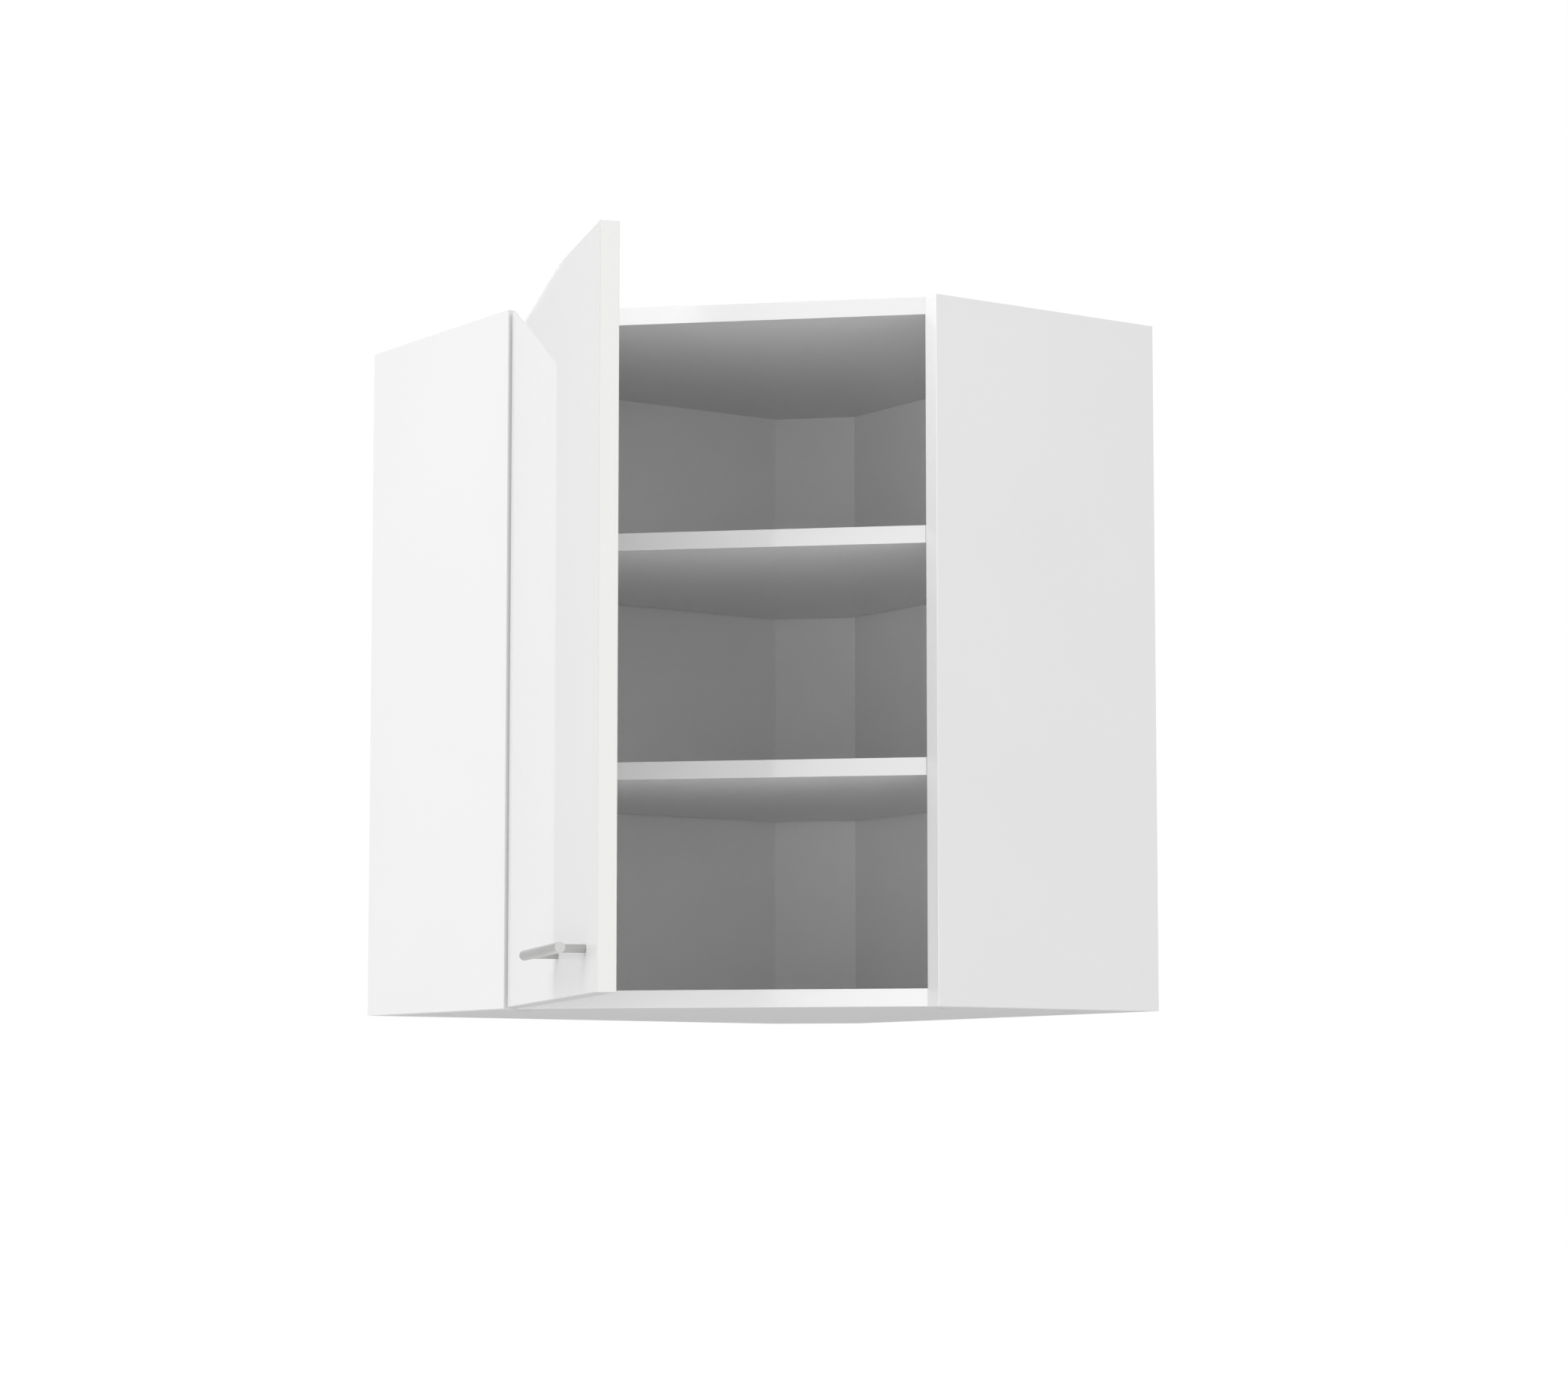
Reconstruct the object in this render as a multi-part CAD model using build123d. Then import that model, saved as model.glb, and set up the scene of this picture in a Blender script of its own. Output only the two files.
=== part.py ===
from build123d import *
import os
from math import cos, radians, sin, sqrt, tan

os.makedirs("parts", exist_ok=True)

# Corner wall cabinet. Millimetres, +Z up.
# The walls of the room are the planes x = 0 and y = 0, and the cabinet stands in x > 0, y < 0.
# z = 0 is its underside. The left side panel faces -Y, the right side panel faces +X,
# and the front runs at 45 degrees between their front edges.

# ---- Carcase -----------------------------------------------------------------
wall_width = 600.0            # room corner to the outer face of either side panel
height = 720.0                # underside to top
side_depth = 285.0            # wall to the front edge of either side panel
corner_cut = 71.0             # how far the cut-off rear corner runs along each wall
board = 18.0                  # side, top, bottom and shelf boards
band = 1.0                    # edge band glued on each front edge
band_round = 0.4              # eased long edges of a band

# ---- Back sheets -------------------------------------------------------------
back_sheet = 3.0
back_gap = 5.0                # air between the wall and the back sheets
groove_depth = 6.0
groove_play = 0.1             # each side of a sheet
groove_end_play = 0.5         # between a sheet's edge and the bottom of its groove

# ---- Shelves -----------------------------------------------------------------
lower_shelf_height = 232.0    # underside of the shelf above the cabinet's underside
upper_shelf_height = 467.5
shelf_side_play = 0.5
shelf_back_play = 1.5
support_front = 37.0          # shelf supports, behind the side panel's front edge
support_rear = 64.0           # and in front of the wall
support_width = 10.0
support_reach = 9.0
support_drop = 14.0
support_sheet = 1.5
support_peg_drop = 7.0        # peg axis below the shelf's underside
peg_radius = 2.5
peg_length = 8.0
peg_play = 0.05
hole_pitch = 32.0             # spacing of the spare shelf holes
spare_holes = 2               # above and below each support

# ---- Carcase joints ----------------------------------------------------------
dowel_radius = 4.0
dowel_length = 30.0
dowel_in_side = 11.0
dowel_play = 0.05
dowel_offsets = (80.0, 176.0)  # behind the side panel's front edge
cam_offsets = (48.0, 208.0)
cam_radius = 7.5
cam_depth = 12.5
cam_reach = 34.0              # cam centre from the end of its board
cam_play = 0.1
cam_slot = (6.0, 1.2, 1.5)    # driver cross: length, width, depth
bolt_thread_radius = 3.0
bolt_thread = 11.0
bolt_shank_radius = 3.5
bolt_shank = 20.0
bolt_neck_radius = 2.2
bolt_neck = 7.0
bolt_head = 3.0
bolt_play = 0.5

# ---- Door --------------------------------------------------------------------
door_side = 6.75              # carcase's outer corner to the door's edge, on both sides
door_bottom = 1.0             # door above the cabinet's underside
door_top = 3.0                # and below its top
door_board = 19.0
door_round = 1.0
door_open = 65.0              # degrees from closed, as drawn

# ---- Handle ------------------------------------------------------------------
bar_radius = 5.0
bar_length = 172.0
bar_stand_off = 28.0          # bar axis in front of the door
bar_height = 42.0             # bar axis above the door's lower edge
bar_round = 0.6
post_radius = 4.0
post_spacing = 128.0
post_edge = 49.0              # first post from the door's free edge
post_seat = 3.0               # depth of a post's blind hole in the bar
post_play = 0.05
handle_screw_radius = 2.0
handle_screw_in_post = 9.0
handle_screw_head_radius = 4.0
handle_screw_head = 2.4
handle_screw_play = 0.4

# ---- Hinges ------------------------------------------------------------------
hinge_inset = 100.0           # hinge centre from the door's upper and lower edges
pin_edge = 13.9               # pin from the door's hinge edge
pin_deep = 7.1                # pin behind the door's back face
pin_radius = 1.5
pin_length = 24.0
pin_running = 0.05            # the arm turns on the pin
pin_press = 0.02              # the cup holds the pin
cup_edge = 5.0                # rim of the cup's bore from the door's edge
cup_radius = 17.5
cup_play = 0.05
cup_depth = 12.5
cup_floor = 1.1
cup_wall = 2.1                # between the pocket and the cup's rim
pocket_half = 6.2
flange = 1.2
flange_radius = 19.0
ear_width = 13.0
cup_screw_spacing = 45.0
cup_screw_back = 9.5          # screws behind the cup's centre, away from the edge
cup_screw_radius = 1.75
cup_screw_length = 12.0
cup_screw_head_radius = 3.5
cup_screw_head = 1.8
arm_sheet = 2.0
arm_clear = 0.9               # between the arm and the door's corner as it swings by
arm_lean = 24.0               # nose of the arm, degrees behind the closed door's plane
arm_eye_radius = 3.8
arm_nose_half = 5.7
arm_half = 7.0
arm_side = 1.5
arm_back = 66.0               # rear end, behind the side panel's front edge
arm_front = 14.0              # front end of its sides
plate_base = 2.0
plate_rib_half = 5.3
plate_rib_rear = 62.0
plate_rib_front = 20.0
plate_foot_half = 9.0
plate_wing_half = 24.0
plate_wing_width = 14.0
plate_screw_back = 37.0
plate_screw_spacing = 32.0
plate_screw_radius = 2.5
plate_screw_length = 11.0
plate_screw_head_radius = 3.75
plate_screw_head = 1.8
arm_screw_backs = (28.0, 52.0)
arm_screw_radius = 2.0
arm_screw_length = 7.0
arm_screw_head_radius = 3.5
arm_screw_head = 1.6
screw_play = 0.1
recess_share = 0.6            # driver cross, as a share of a screw head's radius and height
recess_width = 0.9

# ---- Hangers -----------------------------------------------------------------
hanger_length = 40.0
hanger_thick = 13.0
hanger_tall = 46.0
hanger_top_gap = 3.0          # under the top board
hanger_back_gap = 0.5
hook_drop = 24.0              # hook bar's underside below the hanger's top
hook_width = 7.0
hook_inset = 3.0              # from the side panel's inner face
hook_bar = 5.0
hook_inner = 32.0             # how far the bar reaches into the hanger
hook_wall_gap = 0.4
hook_tip = 2.0
hook_tip_drop = 9.0
hook_play = 0.4
hook_way = 4.0                # free height and width round the hook in the back sheet
wall_plate = 1.8
wall_plate_width = 60.0
wall_plate_drop = 50.0
wall_lip_gap = 0.4            # between hook tip and lip, and between lip and back sheet
wall_lip_drop = 12.0
wall_screw_radius = 2.75
wall_screw_spacing = 32.0
wall_screw_drop = 32.0
hanger_screw_drops = (8.0, 38.0)
hanger_screw_radius = 2.0
hanger_screw_in_side = 13.0
hanger_screw_head_radius = 3.6
hanger_screw_head = 2.4
adjuster_drops = (12.0, 36.0)
adjuster_radius = 3.0
adjuster_length = 8.0
cover_wall = 1.2
cover_play = 0.1

# ---- Values that follow ------------------------------------------------------
root2 = sqrt(2)
inner_face = wall_width - board              # distance of a side panel's inner face from the corner
front_reach = inner_face + side_depth        # x - y on the front of top, bottom and shelves
back_face = back_gap + back_sheet            # inner face of the back sheets, from the wall
front_width = (wall_width - side_depth) * root2
door_width = front_width - 2 * door_side
door_height = height - door_bottom - door_top
front = Plane(origin=(side_depth, -wall_width, 0), x_dir=(1, 1, 0), z_dir=(0, 0, 1))
# In the front's own frame x runs along the front from the left corner and y points inwards.
# The closed door's back lies in the plane through the side panels' outer corners, y = 0.
door_back = 0.0
door_face = door_back - door_board
pin_x = door_side + pin_edge
pin_y = door_back - pin_deep
pin_point = (front.location * Pos(pin_x, pin_y, 0)).position
pin_axis = Axis((pin_point.X, pin_point.Y, 0), (0, 0, 1))
cup_x = door_side + cup_edge + cup_radius
hinge_heights = {
    "upper": door_bottom + door_height - hinge_inset,
    "lower": door_bottom + hinge_inset,
}
sweep_radius = sqrt(pin_edge**2 + pin_deep**2)   # door's rear corner about the pin
arm_inner = pin_point.Y + sweep_radius + arm_clear
arm_outer = arm_inner + arm_sheet
arm_bend_y = arm_inner + arm_sheet / 2
arm_angle = 45.0 + arm_lean
arm_bend_x = pin_point.X + (arm_bend_y - pin_point.Y) / tan(radians(arm_angle))
side_inner_y = -inner_face
hanger_top = height - board - hanger_top_gap
hook_z = hanger_top - hook_drop
shelf_heights = {"lower": lower_shelf_height, "upper": upper_shelf_height}
slab_levels = {"bottom": 0.0, "top": height - board}


# ---- Small makers ------------------------------------------------------------
def block(x0, x1, y0, y1, z0, z1):
    """A box between two corners."""
    return Pos(x0, y0, z0) * Box(x1 - x0, y1 - y0, z1 - z0, align=(Align.MIN, Align.MIN, Align.MIN))


def prism(points, low, high):
    """A closed outline in plan, raised from one height to another."""
    outline = make_face(Polyline(*points, close=True))
    return Pos(0, 0, low) * extrude(outline, amount=high - low, dir=(0, 0, 1))


def rod(start, direction, radius, length):
    """A round bar or drill, from its start along a direction."""
    seat = Plane(origin=start, z_dir=direction).location
    return seat * Cylinder(radius, length, align=(Align.CENTER, Align.CENTER, Align.MIN))


def screw(start, direction, head_radius, head, shank_radius, length):
    """A screw whose head sits on a face at start; direction points into the work."""
    into = Vector(*direction)
    top = Vector(*start) - into * head
    body = rod(start, into, shank_radius, length) + rod(top, into, head_radius, head)
    slot = Box(2 * recess_share * head_radius, recess_width, 2 * recess_share * head)
    cross = slot + Rot(0, 0, 90) * slot
    return body - Plane(origin=top, z_dir=into).location * cross


def across(part):
    """The mirror image that belongs on the other wall: x and y change places and sign."""
    return mirror(part, about=Plane(origin=(0, 0, 0), z_dir=(1, 1, 0)))


def on_door(part):
    """Takes a piece from the front's own frame, door closed, to the open door."""
    return (front.location * part).rotate(pin_axis, -door_open)


def group(parts):
    """Several separate solids kept in one node."""
    return Compound(children=list(parts))


def write(part, node):
    """Saves one node."""
    export_step(part, f"parts/{node}.step")


# ---- Outlines in plan --------------------------------------------------------
def cut_at(offset):
    """Where a line parallel to the cut corner, moved in by offset, meets a wall moved in as much."""
    return corner_cut + offset * (root2 - 1)


def slab_outline(side_play, back_offset, front_trim):
    """Six-sided outline of a top, bottom or shelf board."""
    side = inner_face - side_play
    rear_cut = cut_at(back_offset)
    reach = front_reach - front_trim * root2 - side
    return [
        (back_offset, -rear_cut),
        (rear_cut, -back_offset),
        (side, -back_offset),
        (side, -reach),
        (reach, -side),
        (back_offset, -side),
    ]


def front_strip(side_play):
    """Outline of the band on a board's front edge."""
    side = inner_face - side_play
    outer = front_reach - side
    inner = front_reach - band * root2 - side
    return [(side, -outer), (side, -inner), (inner, -side), (outer, -side)]


def back_outlines(play, past_side):
    """Outlines of the left, corner and right back sheets, which meet in mitres."""
    near = back_gap - play
    far = back_face + play
    reach = inner_face + past_side
    left = [(near, -reach), (far, -reach), (far, -cut_at(far)), (near, -cut_at(near))]
    corner = [(near, -cut_at(near)), (far, -cut_at(far)), (cut_at(far), -far), (cut_at(near), -near)]
    right = [(-y, -x) for x, y in left]
    return {"left": left, "corner": corner, "right": right}


# ---- Carcase boards ----------------------------------------------------------
def joint_drills(level):
    """Holes for the dowels and bolts between one side panel and one slab."""
    middle = level + board / 2
    drills = []
    for offset in dowel_offsets:
        end = (side_depth - offset, side_inner_y - dowel_in_side - bolt_play, middle)
        drills.append(rod(end, (0, 1, 0), dowel_radius + dowel_play, dowel_length + 2 * bolt_play))
    for offset in cam_offsets:
        x = side_depth - offset
        thread = (x, side_inner_y - bolt_thread - bolt_play, middle)
        drills.append(rod(thread, (0, 1, 0), bolt_thread_radius + screw_play, bolt_thread + bolt_play))
        way = (x, side_inner_y, middle)
        drills.append(rod(way, (0, 1, 0), bolt_shank_radius + bolt_play, cam_reach))
    return drills


def cam_seats(level):
    """Blind holes for the cams, from the hidden face of a slab."""
    low = level if level == 0 else height - cam_depth
    seats = []
    for offset in cam_offsets:
        seat = (side_depth - offset, side_inner_y + cam_reach, low)
        seats.append(rod(seat, (0, 0, 1), cam_radius + cam_play, cam_depth))
    return seats


def slab(level):
    """Top or bottom board, grooved for the backs and drilled at both sides."""
    panel = prism(slab_outline(0, 0, band), level, level + board)
    groove_low = board - groove_depth if level == 0 else level
    for outline in back_outlines(groove_play, 0).values():
        panel -= prism(outline, groove_low, groove_low + groove_depth)
    for drill in joint_drills(level) + cam_seats(level):
        panel -= drill
        panel -= across(drill)
    return panel


def shelf_supports_at():
    """Distances from the wall at which a shelf is held on each side panel."""
    return (side_depth - support_front, support_rear)


def side_panel():
    """The left side panel as far as both side panels are alike."""
    panel = block(0, side_depth - band, -wall_width, -inner_face, 0, height)
    groove = side_inner_y - groove_depth
    panel -= block(back_gap - groove_play, back_face + groove_play, groove, side_inner_y, 0, height)
    for level in slab_levels.values():
        for drill in joint_drills(level):
            panel -= drill
    for shelf in shelf_heights.values():
        for x in shelf_supports_at():
            for step in range(-spare_holes, spare_holes + 1):
                z = shelf - support_peg_drop + step * hole_pitch
                hole = (x, side_inner_y, z)
                panel -= rod(hole, (0, -1, 0), peg_radius + peg_play, peg_length + bolt_play)
    for drop in hanger_screw_drops:
        hole = (hanger_screw_x(), side_inner_y, hanger_top - drop)
        panel -= rod(hole, (0, -1, 0), hanger_screw_radius + screw_play, hanger_screw_in_side + bolt_play)
    return panel


def left_side_panel():
    """The left panel also takes the hinge plates' screws."""
    panel = side_panel()
    for z in hinge_heights.values():
        for side in (-1, 1):
            hole = (side_depth - plate_screw_back, side_inner_y, z + side * plate_screw_spacing / 2)
            panel -= rod(hole, (0, -1, 0), plate_screw_radius + screw_play, plate_screw_length)
    return panel


def side_band():
    """Band on the front edge of the left side panel."""
    strip = block(side_depth - band, side_depth, -wall_width, -inner_face, 0, height)
    return fillet(strip.edges().filter_by(Axis.Z).group_by(Axis.X)[-1], radius=band_round)


def front_band(side_play, low):
    """Band on the 45 degree front edge of a board."""
    strip = prism(front_strip(side_play), low, low + board)
    outer = Axis((0, 0, 0), (1, -1, 0))
    long_edges = strip.edges().filter_by(Axis((0, 0, 0), (1, 1, 0))).group_by(outer)[-1]
    return fillet(long_edges, radius=band_round)


def shelf(low):
    """A loose shelf, clear of the sides and backs."""
    return prism(slab_outline(shelf_side_play, back_face + shelf_back_play, band), low, low + board)


def back_panels():
    """The three back sheets, each in its grooves; the outer two have a way for a hanger hook."""
    tongue = groove_depth - groove_end_play
    low = board - tongue
    high = height - board + tongue
    sheets = {}
    for place, outline in back_outlines(0, tongue).items():
        sheets[place] = prism(outline, low, high)
    hook_low = side_inner_y + hook_inset
    way = block(
        0, back_face + back_gap,
        hook_low - hook_way / 2, hook_low + hook_width + hook_way / 2,
        hook_z - hook_tip_drop - hook_way / 2, hook_z + hook_bar + hook_way / 2,
    )
    sheets["left"] -= way
    sheets["right"] -= across(way)
    return sheets


# ---- Loose carcase fittings --------------------------------------------------
def both_sides(parts):
    """The same fittings on the left and right side panels."""
    return [copy for part in parts for copy in (part, across(part))]


def carcase_dowels():
    """Wooden dowels between the side panels and the slabs."""
    dowels = []
    for level in slab_levels.values():
        for offset in dowel_offsets:
            end = (side_depth - offset, side_inner_y - dowel_in_side, level + board / 2)
            dowels.append(rod(end, (0, 1, 0), dowel_radius, dowel_length))
    return group(both_sides(dowels))


def cam_bolts():
    """Bolts screwed into the side panels, each ending in a head inside its cam."""
    bolts = []
    for level in slab_levels.values():
        for offset in cam_offsets:
            x = side_depth - offset
            z = level + board / 2
            y = side_inner_y
            bolt = rod((x, y - bolt_thread, z), (0, 1, 0), bolt_thread_radius, bolt_thread)
            bolt += rod((x, y, z), (0, 1, 0), bolt_shank_radius, bolt_shank)
            bolt += rod((x, y + bolt_shank, z), (0, 1, 0), bolt_neck_radius, bolt_neck)
            head = (x, y + bolt_shank + bolt_neck, z)
            bolt += rod(head, (0, 1, 0), bolt_shank_radius, bolt_head)
            bolts.append(bolt)
    return group(both_sides(bolts))


def cam_housings():
    """Cams that pull the bolts tight, in the hidden faces of top and bottom."""
    cams = []
    for level in slab_levels.values():
        low = level if level == 0 else height - cam_depth
        face = 0.0 if level == 0 else height
        for offset in cam_offsets:
            x = side_depth - offset
            y = side_inner_y + cam_reach
            cam = rod((x, y, low), (0, 0, 1), cam_radius, cam_depth)
            way = (x, y - cam_radius - bolt_play, level + board / 2)
            cam -= rod(way, (0, 1, 0), bolt_shank_radius + bolt_play, cam_radius + bolt_play)
            length, width, deep = cam_slot
            slot = Box(length, width, 2 * deep)
            cam -= Pos(x, y, face) * slot
            cam -= Pos(x, y, face) * Rot(0, 0, 90) * slot
            cams.append(cam)
    return group(both_sides(cams))


def shelf_supports():
    """Plug-in angle supports under the shelves."""
    supports = []
    for shelf_low in shelf_heights.values():
        for x in shelf_supports_at():
            x0 = x - support_width / 2
            x1 = x + support_width / 2
            y = side_inner_y
            low = shelf_low - support_drop
            leg = block(x0, x1, y, y + support_sheet, low, shelf_low)
            ledge = block(x0, x1, y, y + support_reach, shelf_low - support_sheet, shelf_low)
            peg = rod((x, y, shelf_low - support_peg_drop), (0, -1, 0), peg_radius, peg_length)
            supports.append(leg + ledge + peg)
    return group(both_sides(supports))


# ---- Door and handle ---------------------------------------------------------
def post_places():
    """Handle posts along the front, door closed."""
    first = door_side + door_width - post_edge
    return (first, first - post_spacing)


def door_panel():
    """The slab door with its cup bores and screw holes."""
    panel = block(door_side, door_side + door_width, door_face, door_back,
                  door_bottom, door_bottom + door_height)
    panel = fillet(panel.edges(), radius=door_round)
    for z in hinge_heights.values():
        panel -= rod((cup_x, door_back, z), (0, -1, 0), cup_radius, cup_depth)
        for side in (-1, 1):
            hole = (cup_x + cup_screw_back, door_back, z + side * cup_screw_spacing / 2)
            panel -= rod(hole, (0, -1, 0), cup_screw_radius + screw_play, cup_screw_length)
    for x in post_places():
        hole = (x, door_back, door_bottom + bar_height)
        panel -= rod(hole, (0, -1, 0), handle_screw_radius + handle_screw_play, door_board)
    return on_door(panel)


def handle_bar():
    """Round bar, bored for its two posts."""
    middle = door_side + door_width - post_edge - post_spacing / 2
    y = door_face - bar_stand_off
    z = door_bottom + bar_height
    bar = rod((middle - bar_length / 2, y, z), (1, 0, 0), bar_radius, bar_length)
    bar = fillet(bar.edges().filter_by(GeomType.CIRCLE), radius=bar_round)
    for x in post_places():
        seat_floor = y + bar_radius - post_seat
        bar -= rod((x, seat_floor, z), (0, 1, 0), post_radius + post_play, bar_radius)
    return on_door(bar)


def handle_posts():
    """Posts from the door's face into the bar, threaded for the screws."""
    posts = []
    length = bar_stand_off - bar_radius + post_seat
    for x in post_places():
        foot = (x, door_face, door_bottom + bar_height)
        post = rod(foot, (0, -1, 0), post_radius, length)
        post -= rod(foot, (0, -1, 0), handle_screw_radius + screw_play, handle_screw_in_post + bolt_play)
        posts.append(on_door(post))
    return group(posts)


def handle_screws():
    """Screws through the door from its back."""
    screws = []
    length = door_board + handle_screw_in_post
    for x in post_places():
        head = (x, door_back, door_bottom + bar_height)
        screws.append(on_door(screw(head, (0, -1, 0), handle_screw_head_radius, handle_screw_head,
                                    handle_screw_radius, length)))
    return group(screws)


# ---- Hinges ------------------------------------------------------------------
def hinge_cup(z):
    """Cup with its screw flange and the pocket in which the arm's nose turns."""
    cup = rod((cup_x, door_back, z), (0, -1, 0), cup_radius - cup_play, cup_depth - cup_play)
    cup += rod((cup_x, door_back, z), (0, 1, 0), flange_radius, flange)
    ear_x = cup_x + cup_screw_back
    half = cup_screw_spacing / 2
    cup += block(ear_x - ear_width / 2, ear_x + ear_width / 2, door_back, door_back + flange, z - half, z + half)
    for side in (-1, 1):
        cup += rod((ear_x, door_back, z + side * half), (0, 1, 0), ear_width / 2, flange)
    pocket_reach = cup_radius - cup_wall
    pocket_floor = door_back - cup_depth + cup_floor
    cup -= block(cup_x - pocket_reach, cup_x + pocket_reach, pocket_floor, door_back + flange,
                 z - pocket_half, z + pocket_half)
    for side in (-1, 1):
        hole = (ear_x, door_back, z + side * half)
        cup -= rod(hole, (0, 1, 0), cup_screw_radius + screw_play, flange)
    cup -= rod((pin_x, pin_y, z - pin_length / 2), (0, 0, 1), pin_radius + pin_press, pin_length)
    return on_door(cup)


def hinge_arm(z):
    """Cranked arm: a channel over the plate, and a nose that reaches back into the cup."""
    x_pin, y_pin = pin_point.X, pin_point.Y
    rear = side_depth - arm_back
    nose_low, nose_high = z - arm_nose_half, z + arm_nose_half
    arm = block(rear, side_depth, arm_inner, arm_outer, z - arm_half, z + arm_half)
    arm += block(side_depth, arm_bend_x, arm_inner, arm_outer, nose_low, nose_high)
    for low in (z - arm_half, z + arm_half - arm_side):
        arm += block(rear, side_depth - arm_front, side_inner_y + plate_base + screw_play, arm_outer,
                     low, low + arm_side)
    arm += rod((arm_bend_x, arm_bend_y, nose_low), (0, 0, 1), arm_sheet / 2, 2 * arm_nose_half)
    reach = sqrt((arm_bend_x - x_pin) ** 2 + (arm_bend_y - y_pin) ** 2)
    leg = block(0, reach, -arm_sheet / 2, arm_sheet / 2, nose_low, nose_high)
    arm += Pos(x_pin, y_pin, 0) * Rot(0, 0, arm_angle) * leg
    arm += rod((x_pin, y_pin, nose_low), (0, 0, 1), arm_eye_radius, 2 * arm_nose_half)
    arm -= rod((x_pin, y_pin, nose_low), (0, 0, 1), pin_radius + pin_running, 2 * arm_nose_half)
    for back in arm_screw_backs:
        hole = (side_depth - back, arm_outer, z)
        arm -= rod(hole, (0, -1, 0), arm_screw_radius + screw_play, arm_sheet)
    return arm


def hinge_plate(z):
    """Mounting plate on the left side panel: foot, wings and the rib that carries the arm."""
    y = side_inner_y
    rear = side_depth - plate_rib_rear
    fore = side_depth - plate_rib_front
    screw_x = side_depth - plate_screw_back
    plate = block(rear, fore, y, y + plate_base, z - plate_foot_half, z + plate_foot_half)
    plate += block(screw_x - plate_wing_width / 2, screw_x + plate_wing_width / 2, y, y + plate_base,
                   z - plate_wing_half, z + plate_wing_half)
    plate += block(rear, fore, y, arm_inner, z - plate_rib_half, z + plate_rib_half)
    for side in (-1, 1):
        hole = (screw_x, y, z + side * plate_screw_spacing / 2)
        plate -= rod(hole, (0, 1, 0), plate_screw_radius + screw_play, plate_base)
    for back in arm_screw_backs:
        hole = (side_depth - back, arm_inner, z)
        deep = arm_screw_length - arm_sheet + screw_play
        plate -= rod(hole, (0, -1, 0), arm_screw_radius + screw_play, deep)
    return plate


def hinge_pins():
    """One pin through each cup."""
    pins = []
    for z in hinge_heights.values():
        pins.append(on_door(rod((pin_x, pin_y, z - pin_length / 2), (0, 0, 1), pin_radius, pin_length)))
    return group(pins)


def hinge_cup_screws():
    """Two short screws through each flange into the door."""
    screws = []
    for z in hinge_heights.values():
        for side in (-1, 1):
            head = (cup_x + cup_screw_back, door_back + flange, z + side * cup_screw_spacing / 2)
            screws.append(on_door(screw(head, (0, -1, 0), cup_screw_head_radius, cup_screw_head,
                                        cup_screw_radius, cup_screw_length)))
    return group(screws)


def hinge_plate_screws():
    """Two screws through each plate's wings into the side panel."""
    screws = []
    for z in hinge_heights.values():
        for side in (-1, 1):
            head = (side_depth - plate_screw_back, side_inner_y + plate_base,
                    z + side * plate_screw_spacing / 2)
            screws.append(screw(head, (0, -1, 0), plate_screw_head_radius, plate_screw_head,
                                plate_screw_radius, plate_screw_length))
    return group(screws)


def hinge_arm_screws():
    """Clamping and adjusting screws that hold each arm on its plate."""
    screws = []
    for z in hinge_heights.values():
        for back in arm_screw_backs:
            head = (side_depth - back, arm_outer, z)
            screws.append(screw(head, (0, -1, 0), arm_screw_head_radius, arm_screw_head,
                                arm_screw_radius, arm_screw_length))
    return group(screws)


# ---- Hangers and wall plates, left hand --------------------------------------
def hanger_rear():
    """Rear end of a hanger, from the wall."""
    return back_face + hanger_back_gap


def hanger_screw_x():
    """Where the hanger's fixing screws stand."""
    return hanger_rear() + hanger_length / 2


def hanger_box(grow):
    """Outer shape of a hanger; grow makes it larger on its free sides."""
    return block(
        hanger_rear(), hanger_rear() + hanger_length + grow,
        side_inner_y, side_inner_y + hanger_thick + grow,
        hanger_top - hanger_tall - grow, hanger_top + grow,
    )


def adjusters():
    """Places of the two adjusting screws on a hanger's front face."""
    face = hanger_rear() + hanger_length
    y = side_inner_y + hanger_thick / 2
    return [(face, y, hanger_top - drop) for drop in adjuster_drops]


def hanger_body():
    """Housing screwed to the side panel, with a way for the hook's bar."""
    body = hanger_box(0)
    low = side_inner_y + hook_inset
    body -= block(hanger_rear(), hanger_rear() + hook_inner + hook_play,
                  low - hook_play, low + hook_width + hook_play,
                  hook_z - hook_play, hook_z + hook_bar + hook_play)
    for point in adjusters():
        body -= rod(point, (-1, 0, 0), adjuster_radius + screw_play, adjuster_length + screw_play)
    for drop in hanger_screw_drops:
        foot = (hanger_screw_x(), side_inner_y, hanger_top - drop)
        body -= rod(foot, (0, 1, 0), hanger_screw_radius + screw_play, hanger_thick)
        seat = (hanger_screw_x(), side_inner_y + hanger_thick - hanger_screw_head, hanger_top - drop)
        body -= rod(seat, (0, 1, 0), hanger_screw_head_radius + screw_play, hanger_screw_head)
    return body


def hanger_hook():
    """Bar that leaves through the back sheet and hooks down behind the wall plate's lip."""
    low = side_inner_y + hook_inset
    high = low + hook_width
    reach = hanger_rear() + hook_inner
    bar = block(hook_wall_gap, reach, low, high, hook_z, hook_z + hook_bar)
    tip = block(hook_wall_gap, hook_wall_gap + hook_tip, low, high, hook_z - hook_tip_drop, hook_z)
    return bar + tip


def hanger_cover():
    """Thin cap over the housing, with holes for the adjusting screws."""
    cover = hanger_box(cover_play + cover_wall) - hanger_box(cover_play)
    for x, y, z in adjusters():
        cover -= rod((x, y, z), (1, 0, 0), adjuster_radius + bolt_play, cover_play + cover_wall)
    return cover


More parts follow.
